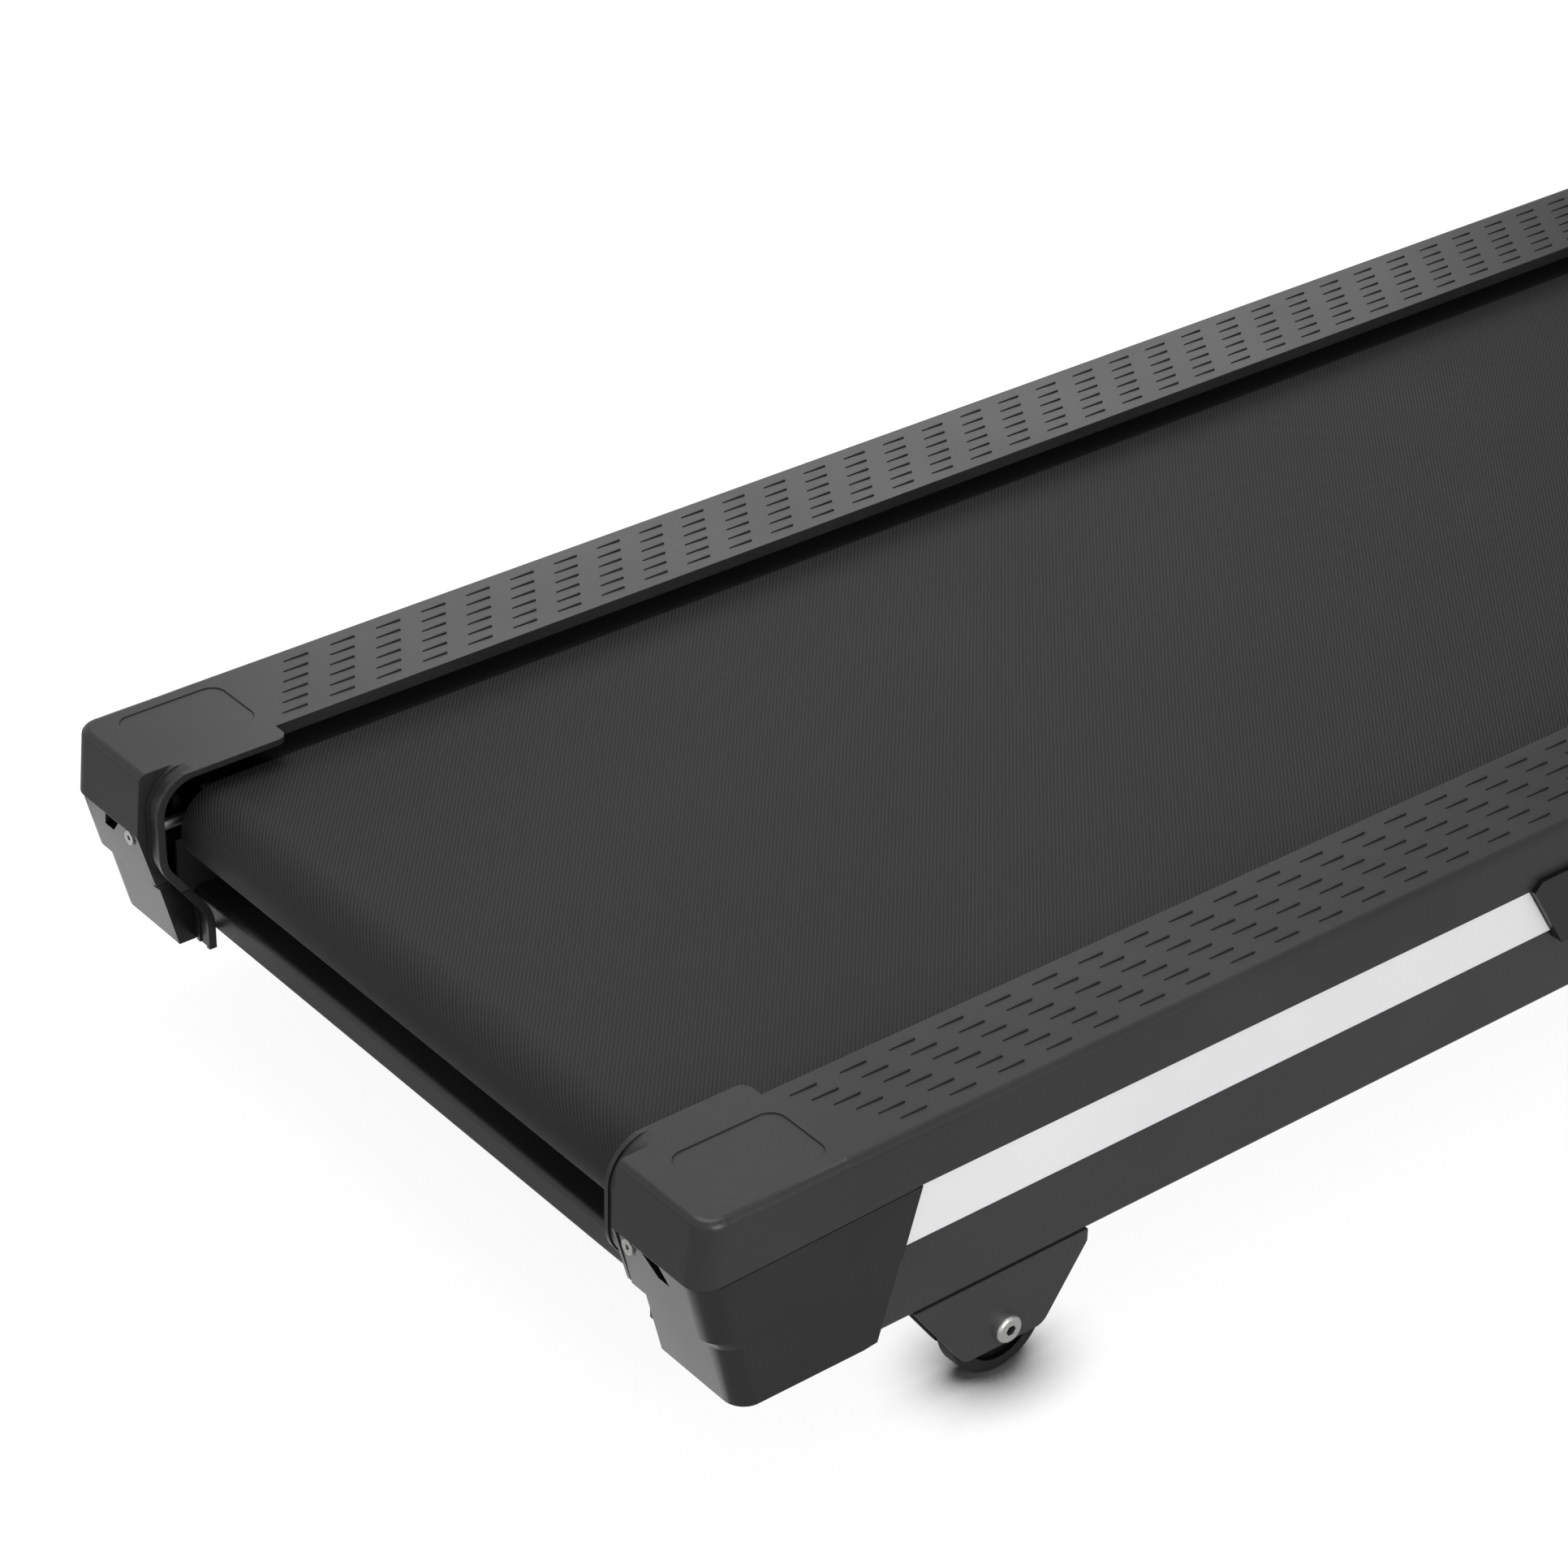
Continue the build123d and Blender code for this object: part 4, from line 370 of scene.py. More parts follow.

# %% [markdown]
# ## Finishes on the CAD pieces
#
# Each CAD piece keeps its mesh and takes a finish. The list goes by the record's material slots, with two
# exceptions. The rear caps share the rails' slot but take a darker copy of the rail plastic, as painted
# shade. The rollers' brackets and axles and the rear bearings, which show only in the dark gap behind the
# guards, take near-black steel, which paints the shade of that gap.

# %% Dress the CAD pieces
slot_finish = {
    "frame_paint": frame_coat, "zinc_steel": zinc_plate, "foot_rubber": foot_rubber,
    "cover_plastic": hood_plastic, "grip_foam": grip_foam, "console_plastic": console_plastic,
    "display_window": display_window, "cushion_rubber": foot_rubber, "deck_board": deck_board,
    "belt_rubber": belt_pvc, "drive_rubber": drive_rubber, "rail_plastic": rail_plastic,
    "strip_silver": strip_silver, "plate_plastic": plate_plastic_and_cap_shade, "hood_plastic": hood_plastic,
    "motor_paint": motor_coat, "controller_alloy": extruded_alloy, "entry_plastic": inlet_abs,
    "roller_steel": ground_steel, "bearing_steel": bearing_steel, "flywheel_iron": turned_iron,
    "wheel_plastic": wheel_nylon, "switch_plastic": stop_abs, "stop_red": stop_abs,
    "start_green": start_abs, "button_grey": button_abs, "key_red": stop_abs,
}
for entry in frame["record"]["subparts"]:
    mesh = nodes[entry["node"]].data
    mesh.materials.clear()
    mesh.materials.append(slot_finish[entry["material_slot"]])
# Painted shade: the rear caps take the darker copy of the rail plastic
for name in ("rear_cap_left", "rear_cap_right"):
    nodes[name].data.materials[0] = plate_plastic_and_cap_shade
# Painted shade: these parts take near-black steel so that the gap behind the guards stays dark
for name in ("roller_brackets", "roller_axles", "rear_roller_bearings"):
    nodes[name].data.materials[0] = gap_shade_black_steel

# %% [markdown]
# ## Helper for new pieces
#
# A new piece is shaped in a bmesh, in its place on the machine. The helper below turns the bmesh into an
# object, gives it its finish, and makes it ride on the body that carries it.

# %% Piece helper
def make_piece(shape, name, body, finish, smooth_angle=35.0):
    """Turn a bmesh into a named object that rides on a body."""
    bmesh.ops.recalc_face_normals(shape, faces=shape.faces)
    mesh = bpy.data.meshes.new(name)
    shape.to_mesh(mesh)
    shape.free()
    mesh.materials.append(finish)
    mesh.shade_smooth()
    mesh.set_sharp_from_angle(angle=math.radians(smooth_angle))
    piece = bpy.data.objects.new(name, mesh)
    bpy.context.scene.collection.objects.link(piece)
    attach(piece, body)
    print(name, len(mesh.polygons), "faces")
    return piece


# %% [markdown]
# ## The running belt
#
# The belt is a closed loop round two rollers. One edge of its side view starts on top, is spun half a
# turn round the rear roller and half a turn round the front one, and the loop is then extruded across.
# A UV map in metres is written on it: across the belt, and along its way round the rollers.

# %% Running belt
belt_low, belt_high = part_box("running_belt")
belt_radius = (belt_high.z - belt_low.z) / 2
belt_middle_z = (belt_high.z + belt_low.z) / 2
rear_axis = Vector((0, belt_low.y + belt_radius, belt_middle_z))
front_axis = Vector((0, belt_high.y - belt_radius, belt_middle_z))
BELT_THICKNESS = 0.002
HALF_TURN_STEPS = 40
SAME_PLACE = 1e-6  # points closer than this are one point

belt = bmesh.new()
start = belt.verts.new((belt_low.x, rear_axis.y, belt_high.z))
bmesh.ops.spin(belt, geom=[start], cent=rear_axis, axis=(1, 0, 0), angle=math.pi,
               steps=HALF_TURN_STEPS)
lower = min(belt.verts, key=lambda v: (round(v.co.z, 6), -v.co.y))
far = belt.verts.new((belt_low.x, front_axis.y, belt_low.z))
bmesh.ops.spin(belt, geom=[far], cent=front_axis, axis=(1, 0, 0), angle=math.pi,
               steps=HALF_TURN_STEPS)
upper = max(belt.verts, key=lambda v: (round(v.co.z, 6), v.co.y))
belt.edges.new((lower, far))
belt.edges.new((upper, start))
bmesh.ops.remove_doubles(belt, verts=belt.verts, dist=SAME_PLACE)
across = bmesh.ops.extrude_edge_only(belt, edges=belt.edges[:])
moved = [v for v in across["geom"] if isinstance(v, bmesh.types.BMVert)]
bmesh.ops.translate(belt, verts=moved, vec=(belt_high.x - belt_low.x, 0, 0))
bmesh.ops.recalc_face_normals(belt, faces=belt.faces)
bmesh.ops.solidify(belt, geom=belt.faces[:], thickness=BELT_THICKNESS)

# The way round, measured from the rear roller's top: forward on the upper run, down round the back
uv_layer = belt.loops.layers.uv.new("belt_metres")
span = front_axis.y - rear_axis.y
for face in belt.faces:
    middle = face.calc_center_median()
    for loop in face.loops:
        y, z = loop.vert.co.y, loop.vert.co.z
        if middle.y < rear_axis.y:
            along = -belt_radius * math.atan2(rear_axis.y - y, z - belt_middle_z)
        elif middle.y > front_axis.y:
            along = span + belt_radius * math.atan2(y - front_axis.y, z - belt_middle_z)
        elif middle.z > belt_middle_z:
            along = y - rear_axis.y
        else:
            along = -math.pi * belt_radius - (y - rear_axis.y)
        loop[uv_layer].uv = (loop.vert.co.x, along)
running_belt = make_piece(belt, "ribbed_running_belt", "deck", belt_pvc)
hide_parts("running_belt")

# %% [markdown]
# ## Grip marks on the foot rails
#
# Rows of six short ribs stop a shoe from slipping when someone stands astride the belt. Across a row
# they are 10 mm apart, each one 6.7 mm further forward than its inner neighbour, and the rows repeat
# every 33.7 mm. One rib is a thin bar of six faces, narrower on top, with its rear end drawn in. Each row
# copies it. Several hundred ribs stay light because each has so few faces.

# %% Grip ribs
# The ribs are near black, darker than the rail: painted shade that makes each rib read as a dark line
rib_painted_shade_plastic = moulded("moulded_polypropylene_rib_painted_shade", "#0c0c0d", "#121213", 0.6, 1.2, 0.3)
RIB_LENGTH, RIB_WIDTH, RIB_HEIGHT = 0.0175, 0.0020, 0.0008
RIB_TOP, RIB_TAIL, RIB_TAIL_TOP = 0.5, 0.35, 0.5  # shares of the width, and of the height at the tail
ROW_STEP, RIB_STEP, RIB_SKEW, RIBS_IN_ROW = 0.03372, 0.0100, 0.0067, 6
ROW_SKEW = (RIBS_IN_ROW - 1) * RIB_SKEW
FIRST_ROW_Y, FIRST_RIB_X = -0.757, 0.2408
rail_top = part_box("side_rail_right")[1].z
rail_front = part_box("side_rail_right")[1].y

pattern = bmesh.new()
bmesh.ops.create_cube(pattern, size=1.0)
bmesh.ops.scale(pattern, vec=(RIB_WIDTH, RIB_LENGTH, 2 * RIB_HEIGHT), verts=pattern.verts)
for vert in pattern.verts:
    if vert.co.z > 0:
        vert.co.x *= RIB_TOP
    if vert.co.y < 0:
        vert.co.x *= RIB_TAIL
        vert.co.z *= RIB_TAIL_TOP
rib_mesh = bpy.data.meshes.new("rib_pattern")
pattern.to_mesh(rib_mesh)
pattern.free()

for side, name in ((1, "right"), (-1, "left")):
    ribs = bmesh.new()
    row = 0
    while FIRST_ROW_Y + row * ROW_STEP + ROW_SKEW + RIB_LENGTH < rail_front:
        for place in range(RIBS_IN_ROW):
            before = len(ribs.verts)
            ribs.from_mesh(rib_mesh)
            ribs.verts.ensure_lookup_table()
            bmesh.ops.translate(ribs, verts=ribs.verts[before:], vec=(
                side * (FIRST_RIB_X + place * RIB_STEP),
                FIRST_ROW_Y + row * ROW_STEP + place * RIB_SKEW, rail_top))
        row += 1
    make_piece(ribs, "grip_ribs_" + name, "deck", rib_painted_shade_plastic)
bpy.data.meshes.remove(rib_mesh)

# %% [markdown]
# ## Small flat marks
#
# The console's digits, the signs on the buttons and the hood's air slots are all thin shapes that stand
# a fraction of a millimetre proud of the surface under them. Each starts as a flat polygon from a circle
# of a few points, is stretched to size, extruded once, and turned into place. Real air slots are cut
# through, but a CAD mesh is never changed here, and from a few steps away a dark mark reads the same.

# %% Helper for flat marks
def raise_polygon(shape, outline, rise, place):
    """Extrude a flat polygon by a small rise, and put it in place with a matrix."""
    grown = bmesh.ops.extrude_face_region(shape, geom=outline[0].link_faces[:])["geom"]
    upper = [item for item in grown if isinstance(item, bmesh.types.BMVert)]
    bmesh.ops.translate(shape, verts=upper, vec=(0, 0, rise))
    bmesh.ops.transform(shape, verts=outline + upper, matrix=place)


def add_mark(shape, corners, width, height, rise, place, turn=0.0):
    """A mark with a few corners, turned first and then stretched to its width and height."""
    made = bmesh.ops.create_circle(shape, cap_ends=True, segments=corners, radius=0.5)["verts"]
    bmesh.ops.rotate(shape, verts=made, cent=(0, 0, 0), matrix=Matrix.Rotation(turn, 3, "Z"))
    bmesh.ops.scale(shape, verts=made, vec=(width, height, 1.0))
    raise_polygon(shape, made, rise, place)


def add_bar(shape, length, width, rise, place):
    """A bar with pointed ends, as a display segment or a slot has: six points, shoulders pulled out."""
    made = bmesh.ops.create_circle(shape, cap_ends=True, segments=6, radius=0.5)["verts"]
    bmesh.ops.scale(shape, verts=made, vec=(length, width * 2 / math.sqrt(3), 1.0))
    for corner in made:
        if abs(corner.co.y) > width / 4:
            corner.co.x = math.copysign((length - width) / 2, corner.co.x)
    raise_polygon(shape, made, rise, place)


# %% [markdown]
# ## The console's digits
#
# A home treadmill shows time, speed and distance as seven-segment digits behind a dark window. The face
# of the console leans back, so its own three directions come from the way its buttons travel. The digits
# are drawn flat in those directions: seven bars each, of which a digit lights some.

# %% Console digits
press = next(j for j in frame["record"]["behaviour"]["joints"] if j["name"] == "stop_button_press")
face_out = -Vector(press["axis"]).normalized()
face_right = Vector((1, 0, 0))
face_up = face_out.cross(face_right)
face_turn = Matrix((face_right, face_up, face_out)).transposed().to_4x4()
MARK_RISE = 0.0003
EIGHTH_TURN, QUARTER_TURN = math.radians(45), math.radians(90)


def on_face(node, right=0.0, up=0.0):
    """Matrix for a point on a console piece's front, the farthest that its mesh reaches outwards."""
    low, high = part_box(node)
    middle = (low + high) / 2
    reach = max(vert.co.dot(face_out) for vert in nodes[node].data.vertices)
    spot = middle + face_out * (reach - middle.dot(face_out) - MARK_RISE / 3)
    return Matrix.Translation(spot + face_right * right + face_up * up) @ face_turn


lit_lcd, lit_shader = new_material("backlit_lcd_segment", "#a9c7d6", 0.4, IOR=1.5)
lit_place = add_node(lit_lcd, "ShaderNodeTexCoord").outputs["Object"]
lit_cells = add_node(lit_lcd, "ShaderNodeTexNoise", {"Vector": lit_place, "Scale": 700.0, "Detail": 1.0})
lit_ramp = add_node(lit_lcd, "ShaderNodeValToRGB", {"Fac": lit_cells.outputs["Fac"]})
lit_ramp.color_ramp.elements[0].color = linear("#9dbccb")
lit_ramp.color_ramp.elements[1].color = linear("#b7d3e0")
wire(lit_lcd, lit_shader, Base_Color=lit_ramp.outputs["Color"])

DIGIT_HEIGHT, DIGIT_WIDTH, BAR = 0.026, 0.013, 0.0026
DIGIT_ROOM, DOT_ROOM = DIGIT_WIDTH * 0.75, DIGIT_WIDTH * 0.35  # on either side of a sign's middle
BAR_SHARE = 0.9  # of the way from corner to corner, so that bars don't touch
READOUT_UP, SCALE_UP = 0.012, -0.028
SCALE_BARS, SCALE_STEP, SCALE_BAR_WIDTH, SCALE_BAR_HEIGHT = 10, 0.0042, 0.0052, 0.0028
segment_spots = {
    "top": (0, 1, 0), "middle": (0, 0, 0), "bottom": (0, -1, 0), "upper_left": (-1, 0.5, 90),
    "upper_right": (1, 0.5, 90), "lower_left": (-1, -0.5, 90), "lower_right": (1, -0.5, 90)}
lit_segments = {
    "0": ("top", "bottom", "upper_left", "upper_right", "lower_left", "lower_right"),
    "1": ("upper_right", "lower_right"),
    "5": ("top", "upper_left", "middle", "lower_right", "bottom")}
digits = bmesh.new()
# time, speed and distance, and how far right of the window's middle each stands
for text, right in (("00:00", -0.068), ("1.0", 0.030), ("0.5", 0.100)):
    pen = right - sum(DIGIT_ROOM if sign in lit_segments else DOT_ROOM for sign in text)
    for sign in text:
        if sign in lit_segments:
            pen += DIGIT_ROOM
            for name in lit_segments[sign]:
                side, level, turn = segment_spots[name]
                length = DIGIT_WIDTH if turn == 0 else DIGIT_HEIGHT / 2
                place = on_face("display_lens", pen + side * DIGIT_WIDTH / 2,
                                READOUT_UP + level * DIGIT_HEIGHT / 2)
                add_bar(digits, length * BAR_SHARE, BAR, MARK_RISE,
                        place @ Matrix.Rotation(math.radians(turn), 4, "Z"))
            pen += DIGIT_ROOM
        else:
            pen += DOT_ROOM
            for level in (-0.25, 0.25) if sign == ":" else (-0.5,):
                add_mark(digits, 6, BAR, BAR, MARK_RISE, on_face(
                    "display_lens", pen, READOUT_UP + level * DIGIT_HEIGHT))
            pen += DOT_ROOM
    # a row of short bars under each readout, as on a progress scale
    for step in range(SCALE_BARS):
        along = (step - (SCALE_BARS - 1) / 2) * SCALE_STEP
        add_mark(digits, 4, SCALE_BAR_WIDTH, SCALE_BAR_HEIGHT, MARK_RISE,
                 on_face("display_lens", right + along, SCALE_UP), EIGHTH_TURN)
make_piece(digits, "display_digits", "base", lit_lcd)

# %% [markdown]
# ## Signs on the buttons
#
# A square stops, a triangle starts, and a minus and a plus change the speed. They are printed white, and
# each rides on its own button so that it travels with it.

# %% Button signs
sign_ink = moulded("screen_printed_white_ink", "#d9d9d9", "#e6e6e6", 0.5, 0.8, 0.1, 0.02)
SQUARE_ACROSS, TRIANGLE_ACROSS, STROKE_LENGTH, STROKE_WIDTH = 0.0135, 0.0125, 0.011, 0.0026
square, triangle, minus, plus = (bmesh.new() for sign in range(4))
add_mark(square, 4, SQUARE_ACROSS, SQUARE_ACROSS, MARK_RISE, on_face("stop_button"), EIGHTH_TURN)
add_mark(triangle, 3, TRIANGLE_ACROSS, TRIANGLE_ACROSS, MARK_RISE, on_face("start_button"))
add_bar(minus, STROKE_LENGTH, STROKE_WIDTH, MARK_RISE, on_face("slower_button"))
add_bar(plus, STROKE_LENGTH, STROKE_WIDTH, MARK_RISE, on_face("faster_button"))
add_bar(plus, STROKE_LENGTH, STROKE_WIDTH, MARK_RISE,
        on_face("faster_button") @ Matrix.Rotation(QUARTER_TURN, 4, "Z"))
for shape, name in ((square, "stop"), (triangle, "start"), (minus, "slower"), (plus, "faster")):
    make_piece(shape, name + "_sign", name + "_button", sign_ink)

# %% [markdown]
# ## Air slots in the hood
#
# The motor's fan draws air through the hood. Three columns of slots lie on its flat top, which falls a
# little towards the front. They are close to black because nothing under them catches light.

# %% Hood air slots
slot_shade = moulded("moulded_abs_slot_shade", "#050506", "#09090a", 0.8, 0.9, 0.2)
hood_low, hood_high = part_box("motor_hood")
HOOD_SLOPE_LENGTH, HOOD_FLAT_LENGTH, HOOD_FALL = 0.100, 0.150, 0.008
BREAK_ROUNDED_OFF = 0.0002  # the box's top is the rounded break, just under the flat's own line
SLOT_LENGTH, SLOT_WIDTH, SLOT_RISE = 0.092, 0.0048, 0.0006
FIRST_SLOT, SLOT_STEP, SLOT_ROWS, COLUMN_STEP = 0.032, 0.014, 7, 0.115
hood_lean = Matrix.Rotation(-math.atan2(HOOD_FALL, HOOD_FLAT_LENGTH), 4, "X")
slots = bmesh.new()
for column in (-1, 0, 1):
    for row in range(SLOT_ROWS):
        along = FIRST_SLOT + row * SLOT_STEP
        spot = Vector((column * COLUMN_STEP, hood_low.y + HOOD_SLOPE_LENGTH + along,
                       hood_high.z + BREAK_ROUNDED_OFF - HOOD_FALL * along / HOOD_FLAT_LENGTH))
        add_bar(slots, SLOT_LENGTH, SLOT_WIDTH, SLOT_RISE, Matrix.Translation(spot) @ hood_lean)
make_piece(slots, "hood_air_slots", "deck", slot_shade)

# %% [markdown]
# ## Screws
#
# The hood, the boots of the uprights and the console's back are held by socket screws. A head is a short
# cone; its top face is inset and pushed down for the socket.

# %% Screws
black_oxide = bare_metal("black_oxide_steel", "#2a2a2b", "#373738", 0.42, (1, 1, 1))
HEAD_TAPER, RIM_SHARE, SOCKET_SHARE = 0.8, 0.3, 0.6  # of the radius, the radius and the rise


def add_screw(shape, radius, rise, place):
    """A low socket head whose axis is the matrix's third direction."""
    made = bmesh.ops.create_cone(shape, cap_ends=True, segments=18, radius1=radius,
                                 radius2=radius * HEAD_TAPER, depth=rise)["verts"]
    faces = {face for vert in made for face in vert.link_faces}
    top = max(faces, key=lambda face: face.calc_center_median().z)
    bmesh.ops.inset_individual(shape, faces=[top], thickness=radius * RIM_SHARE)
    grown = bmesh.ops.extrude_face_region(shape, geom=[top])["geom"]
    floor_verts = [item for item in grown if isinstance(item, bmesh.types.BMVert)]
    bmesh.ops.delete(shape, geom=[top], context="FACES_ONLY")
    bmesh.ops.translate(shape, verts=floor_verts, vec=(0, 0, -rise * SOCKET_SHARE))
    whole = set(made) | set(floor_verts)
    whole |= {other for vert in floor_verts for edge in vert.link_edges for other in edge.verts}
    bmesh.ops.transform(shape, verts=list(whole), matrix=place)


def side_place(side, x, y, z):
    """Matrix for a point on the machine's right or left side, its third direction outwards."""
    return Matrix.Translation((side * x, y, z)) @ Matrix.Rotation(side * math.pi / 2, 4, "Y")


HOOD_SCREW_RADIUS, BOOT_SCREW_RADIUS, CONSOLE_SCREW_RADIUS = 0.0052, 0.0055, 0.0048
SIDE_SCREW_RISE, CONSOLE_SCREW_RISE = 0.0024, 0.0022
HOOD_SCREW_UP, BOOT_SCREW_UP = 0.022, 0.025
hood_screws, boot_screws, console_screws = (bmesh.new() for group in range(3))
boot_low, boot_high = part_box("upright_covers")
boot_middle_y = (boot_low.y + boot_high.y) / 2
for side in (1, -1):
    for along in (0.05, 0.17, 0.29):
        add_screw(hood_screws, HOOD_SCREW_RADIUS, SIDE_SCREW_RISE, side_place(
            side, hood_high.x, hood_low.y + along, hood_low.z + HOOD_SCREW_UP))
    for along in (-0.028, 0.028):
        add_screw(boot_screws, BOOT_SCREW_RADIUS, SIDE_SCREW_RISE, side_place(
            side, boot_high.x, boot_middle_y + along, boot_low.z + BOOT_SCREW_UP))
make_piece(hood_screws, "hood_screws", "deck", black_oxide)
make_piece(boot_screws, "boot_screws", "base", black_oxide)

CONSOLE_DEPTH, SCREW_RIGHT, SCREW_UP = 0.058, 0.22, 0.062
WINDOW_ABOVE_MIDDLE = 0.036  # the display window sits in the upper part of the console
SCREW_SUNK = 0.001
console_middle = (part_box("display_lens")[0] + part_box("display_lens")[1]) / 2
console_middle -= face_up * WINDOW_ABOVE_MIDDLE
for right in (-SCREW_RIGHT, SCREW_RIGHT):
    for up in (-SCREW_UP, SCREW_UP):
        spot = console_middle + face_right * right + face_up * up
        spot -= face_out * (CONSOLE_DEPTH - SCREW_SUNK)
        add_screw(console_screws, CONSOLE_SCREW_RADIUS, CONSOLE_SCREW_RISE,
                  Matrix.Translation(spot) @ face_turn @ Matrix.Rotation(math.pi, 4, "X"))
make_piece(console_screws, "console_screws", "base", black_oxide)

# %% [markdown]
# ## The wheel bolts' sockets
#
# The hexagon sockets in the wheel bolts look black in the photograph. Bright zinc would stay bright down
# to their floor, so a thin dark hexagon lies on the floor of each socket.

# %% Wheel bolt sockets
# Each dark hexagon is painted shade: it stands for the shade inside its socket
SOCKET_ACROSS, HEAD_HALF_HEIGHT = 0.0070, 0.0025
sockets = bmesh.new()
bolt_low, bolt_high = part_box("wheel_bolts")
bolt_middle = (bolt_low + bolt_high) / 2
for side in (1, -1):
    add_mark(sockets, 6, SOCKET_ACROSS, SOCKET_ACROSS, MARK_RISE, side_place(
        side, bolt_high.x - HEAD_HALF_HEIGHT, bolt_middle.y, bolt_middle.z))
make_piece(sockets, "bolt_socket_painted_shade", "deck", slot_shade)

# %% [markdown]
# ## Mats in the cup wells
#
# A soft mat with three raised rings lies in each cup well, so that a bottle doesn't rattle. Half of its
# section is drawn with a few points and spun once round.

# %% Cup mats
CUP_X, CUP_Y, CUP_DEPTH = 0.230, 0.642, 0.038
FULL_TURN_STEPS = 36
mat_section = ((0.0, 0.0016), (0.009, 0.0016), (0.0105, 0.0026), (0.012, 0.0016), (0.019, 0.0016),
               (0.0205, 0.0026), (0.022, 0.0016), (0.029, 0.0016), (0.0305, 0.0026), (0.032, 0.0016),
               (0.0345, 0.0))
well_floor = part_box("console_tray")[1].z - CUP_DEPTH
mats = bmesh.new()
for side in (1, -1):
    line = [mats.verts.new((side * CUP_X + radius, CUP_Y, well_floor + rise))
            for radius, rise in mat_section]
    edges = [mats.edges.new(pair) for pair in zip(line, line[1:])]
    bmesh.ops.spin(mats, geom=line + edges, cent=(side * CUP_X, CUP_Y, well_floor), axis=(0, 0, 1),
                   angle=2 * math.pi, steps=FULL_TURN_STEPS, use_merge=True)
bmesh.ops.remove_doubles(mats, verts=mats.verts, dist=SAME_PLACE)
rims = [edge for edge in mats.edges if edge.is_boundary]
bmesh.ops.holes_fill(mats, edges=rims, sides=0)
make_piece(mats, "cup_mats", "base", foot_rubber)

# %% [markdown]
# ## Contacts in the mains inlet
#
# Three blade contacts stand in the inlet's well, the middle one a little higher than the outer two.

# %% Inlet contacts
inlet_low, inlet_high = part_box("power_entry")
SOCKET_FROM_MIDDLE, SOCKET_DEPTH = -0.015, 0.016
BLADE_SIZE, BLADE_OUT, BLADE_EDGE = (0.002, 0.011, 0.004), 0.0053, 0.0003
inlet_middle = (inlet_low + inlet_high) / 2
contacts = bmesh.new()
for right, up in ((-0.007, -0.0015), (0.0, 0.0025), (0.007, -0.0015)):
    blade = bmesh.ops.create_cube(contacts, size=1.0)["verts"]
    bmesh.ops.scale(contacts, verts=blade, vec=BLADE_SIZE)
    bmesh.ops.translate(contacts, verts=blade, vec=(
        inlet_middle.x + SOCKET_FROM_MIDDLE + right, inlet_high.y - SOCKET_DEPTH + BLADE_OUT,
        inlet_middle.z + up))
bmesh.ops.bevel(contacts, geom=contacts.edges[:], offset=BLADE_EDGE, segments=1, profile=0.5,
                affect="EDGES", material=-1)
make_piece(contacts, "inlet_contacts", "deck", zinc_plate)

# %% [markdown]
# ## Floor and light
#
# The photograph is a cut-out on white with a soft shadow by the wheel. To the camera the floor glows to
# white, and an ambient occlusion node darkens it only within a few centimetres of what touches it. In
# reflections it is a plain mid grey, which keeps the dark plastics dark.
#
# A large soft box hangs overhead, and a second fills from the camera's side. A strip box beyond the far
# rail gives that rail its broad sheen. Two small glowing cards lie on the floor by the rear caps, where
# the caps' lower faces mirror them. The world gives the rest. In reflections it is bright at the horizon,
# darker overhead, and darker still towards the front, because the far end of the belt is dark in the
# photograph.

# %% Floor
FLOOR_HALF_WIDTH = 12.0
floor_shape = bmesh.new()
bmesh.ops.create_grid(floor_shape, x_segments=1, y_segments=1, size=FLOOR_HALF_WIDTH)
floor_mesh = bpy.data.meshes.new("studio_floor")
floor_shape.to_mesh(floor_mesh)
floor_shape.free()
floor = bpy.data.objects.new("studio_floor", floor_mesh)
bpy.context.scene.collection.objects.link(floor)
FLOOR_GLOW_SHARE, FLOOR_IN_MIRROR = 0.84, 0.42
CONTACT_REACH, CONTACT_CLOSED, CONTACT_OPEN, OPEN_GLOW = 0.055, 0.5, 0.93, 1.1
paper, paper_shader = new_material("studio_paper_white", "#f4f4f4", 0.9)
paper_path = add_node(paper, "ShaderNodeLightPath")
paper_clear = add_node(paper, "ShaderNodeMath", {
    0: paper_path.outputs["Is Camera Ray"], 1: paper_path.outputs["Is Transmission Ray"]},
    operation="MAXIMUM")
paper_share = add_node(paper, "ShaderNodeMath", {
    0: paper_clear.outputs[0], 1: FLOOR_GLOW_SHARE}, operation="MULTIPLY")
paper_share = add_node(paper, "ShaderNodeMath", {
    0: paper_share.outputs[0], 1: paper_path.outputs["Is Glossy Ray"]}, operation="MAXIMUM")
paper_nook = add_node(paper, "ShaderNodeAmbientOcclusion", {"Distance": CONTACT_REACH}, samples=16)
paper_shade = add_node(paper, "ShaderNodeMapRange", {
    "Value": paper_nook.outputs["AO"], "From Min": CONTACT_CLOSED, "From Max": CONTACT_OPEN,
    "To Min": 0.0, "To Max": OPEN_GLOW})
paper_level = add_node(paper, "ShaderNodeMix", {
    "Factor": paper_path.outputs["Is Glossy Ray"], "A": paper_shade.outputs["Result"],
    "B": FLOOR_IN_MIRROR})
paper_glow = add_node(paper, "ShaderNodeEmission", {
    "Color": (1, 1, 1, 1), "Strength": paper_level.outputs["Result"]})
paper_mix = add_node(paper, "ShaderNodeMixShader", {
    0: paper_share.outputs[0], 1: paper_shader.outputs[0], 2: paper_glow.outputs[0]})
paper_out = paper.node_tree.nodes["Material Output"]
paper.node_tree.links.new(paper_mix.outputs[0], paper_out.inputs["Surface"])
floor_mesh.materials.append(paper)
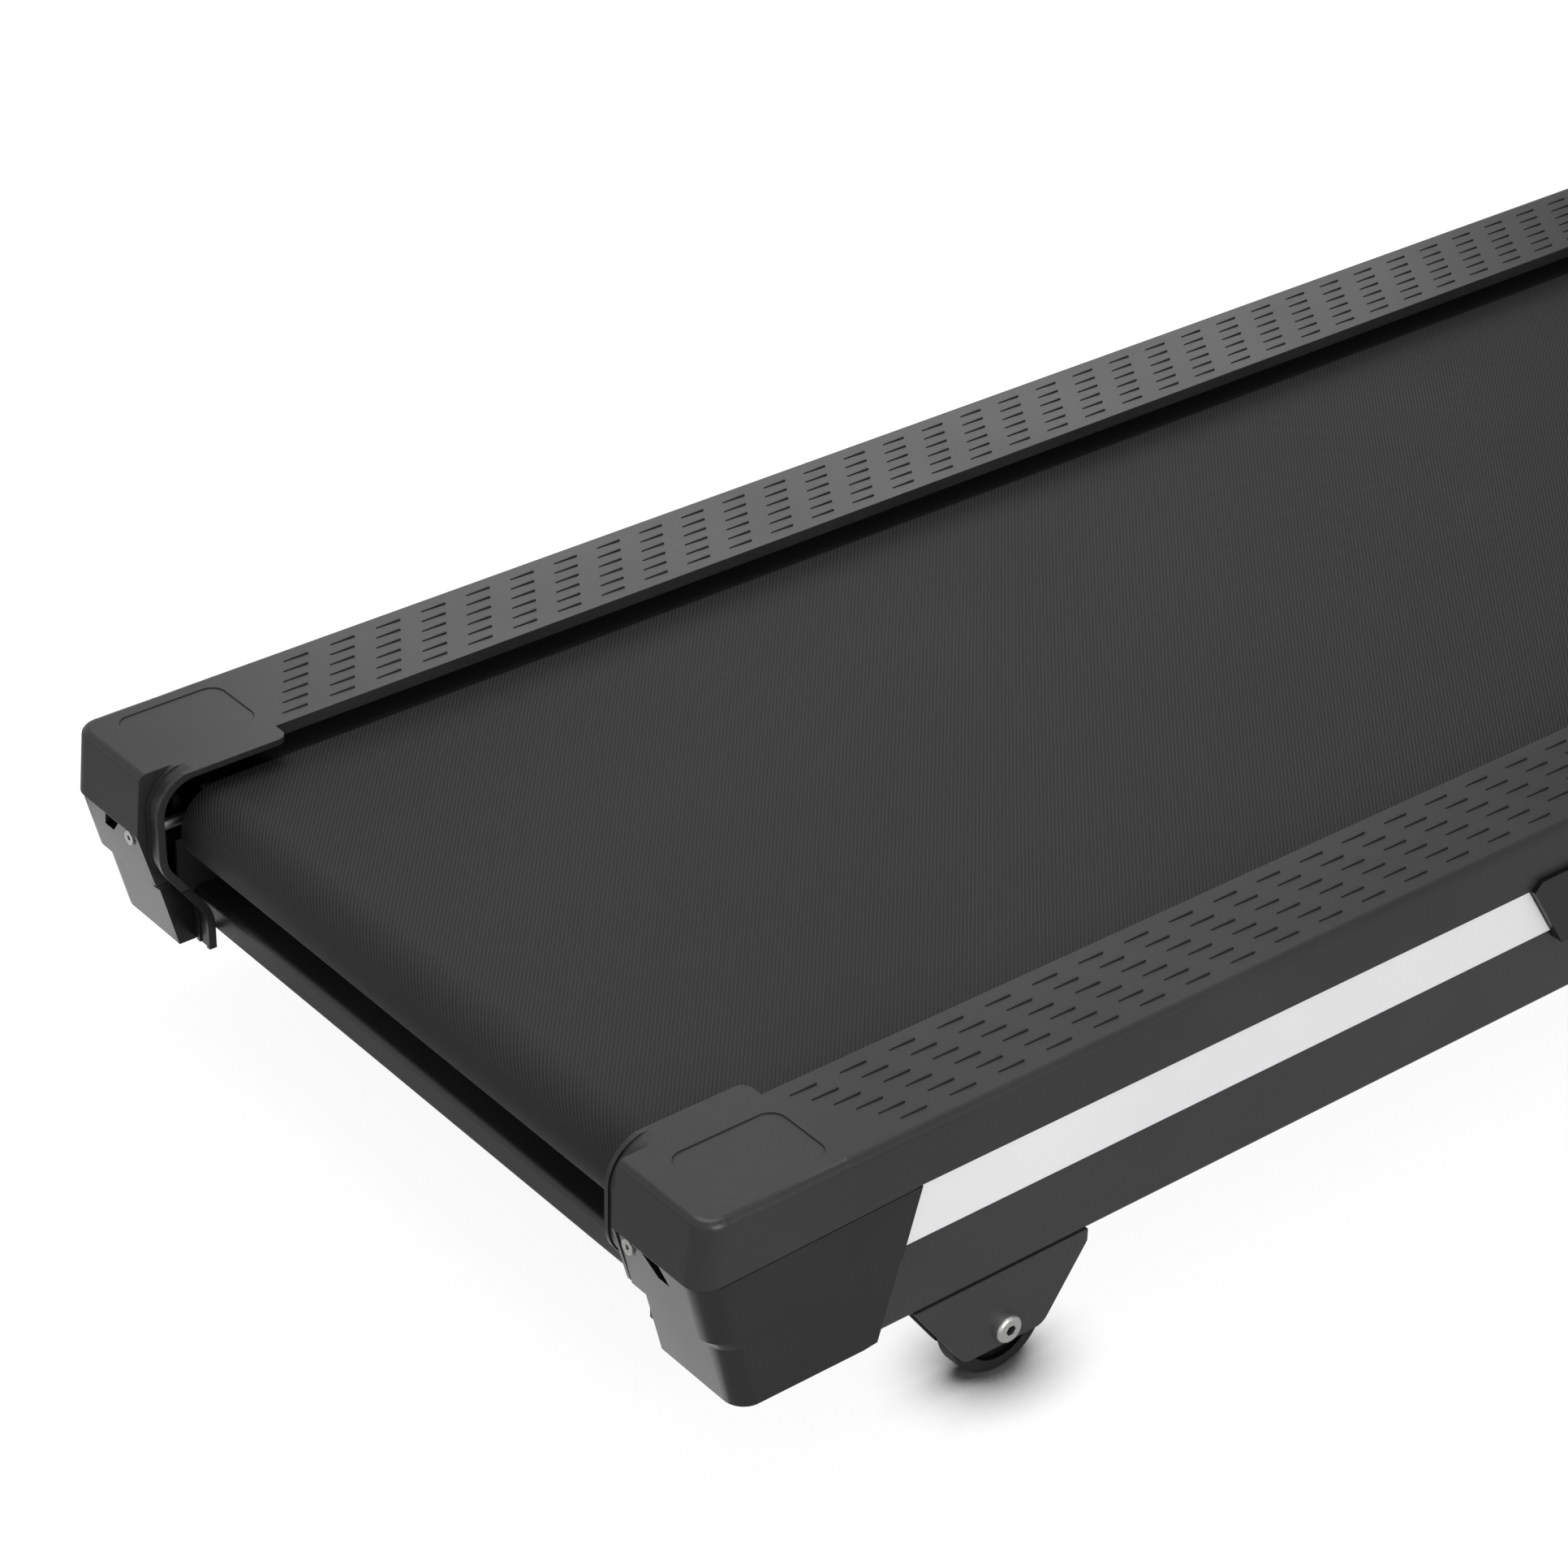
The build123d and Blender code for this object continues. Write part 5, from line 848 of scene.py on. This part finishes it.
print("floor", 2 * FLOOR_HALF_WIDTH, "m wide, shaded within", CONTACT_REACH, "m of what touches it")

# %% Lamps and world
def soft_lamp(name, place, target, width, length, power):
    """A soft box at a place, turned to a target, out of the camera's sight."""
    lamp_data = bpy.data.lights.new(name, "AREA")
    lamp_data.shape = "RECTANGLE"
    lamp_data.size = width
    lamp_data.size_y = length
    lamp_data.energy = power
    lamp = bpy.data.objects.new(name, lamp_data)
    lamp.location = place
    lamp.rotation_euler = (Vector(place) - Vector(target)).to_track_quat("Z", "Y").to_euler()
    lamp.visible_camera = False
    bpy.context.scene.collection.objects.link(lamp)


soft_lamp("overhead_soft_box", (-0.5, -0.6, 3.2), (0, -0.4, 0.2), 2.0, 2.0, 38.0)
soft_lamp("camera_side_fill", (3.0, -1.2, 1.4), (0, -0.4, 0.15), 1.6, 1.6, 46.0)
soft_lamp("far_rail_strip_box", (-1.15, 0.5, 0.85), (-0.27, 0.4, 0.2), 1.4, 0.5, 3.4)
soft_lamp("right_bounce_card", (0.19, -0.84, 0.005), (0.19, -0.839, 1.0), 0.16, 0.20, 0.088)
soft_lamp("left_bounce_card", (-0.39, -0.87, 0.005), (-0.39, -0.869, 1.0), 0.16, 0.20, 0.08)

LIGHT_FROM_AROUND = 0.42  # the world's level as light; to the camera it is 1, which is white
HORIZON, OVERHEAD, OVERHEAD_FROM = 1.0, 0.62, 0.36
FRONT, FRONT_STARTS, FRONT_FROM = 0.4, 0.5, 0.8
world = bpy.data.worlds.new("studio_white")
world.use_nodes = True
bpy.context.scene.world = world
world_path = add_node(world, "ShaderNodeLightPath")
world_clear = add_node(world, "ShaderNodeMath", {
    0: world_path.outputs["Is Camera Ray"], 1: world_path.outputs["Is Transmission Ray"]},
    operation="MAXIMUM")
around = add_node(world, "ShaderNodeTexCoord").outputs["Generated"]
around = add_node(world, "ShaderNodeSeparateXYZ", {"Vector": around})
ceiling = add_node(world, "ShaderNodeMapRange", {
    "Value": around.outputs["Z"], "From Min": 0.0, "From Max": OVERHEAD_FROM,
    "To Min": HORIZON, "To Max": OVERHEAD})
far_wall = add_node(world, "ShaderNodeMapRange", {
    "Value": around.outputs["Y"], "From Min": FRONT_STARTS, "From Max": FRONT_FROM,
    "To Min": 1.0, "To Max": FRONT})
room = add_node(world, "ShaderNodeMath", {
    0: ceiling.outputs["Result"], 1: far_wall.outputs["Result"]}, operation="MULTIPLY")
world_open = add_node(world, "ShaderNodeMapRange", {
    "Value": world_clear.outputs[0], "To Min": LIGHT_FROM_AROUND, "To Max": 1.0})
world_level = add_node(world, "ShaderNodeMix", {
    "Factor": world_path.outputs["Is Glossy Ray"], "A": world_open.outputs["Result"],
    "B": room.outputs[0]})
world_back = world.node_tree.nodes["Background"]
world_back.inputs["Color"].default_value = (1, 1, 1, 1)
world.node_tree.links.new(world_level.outputs["Result"], world_back.inputs["Strength"])
bpy.context.scene.view_settings.view_transform = "Standard"
print("lamps:", ", ".join(lamp.name for lamp in bpy.data.lights))
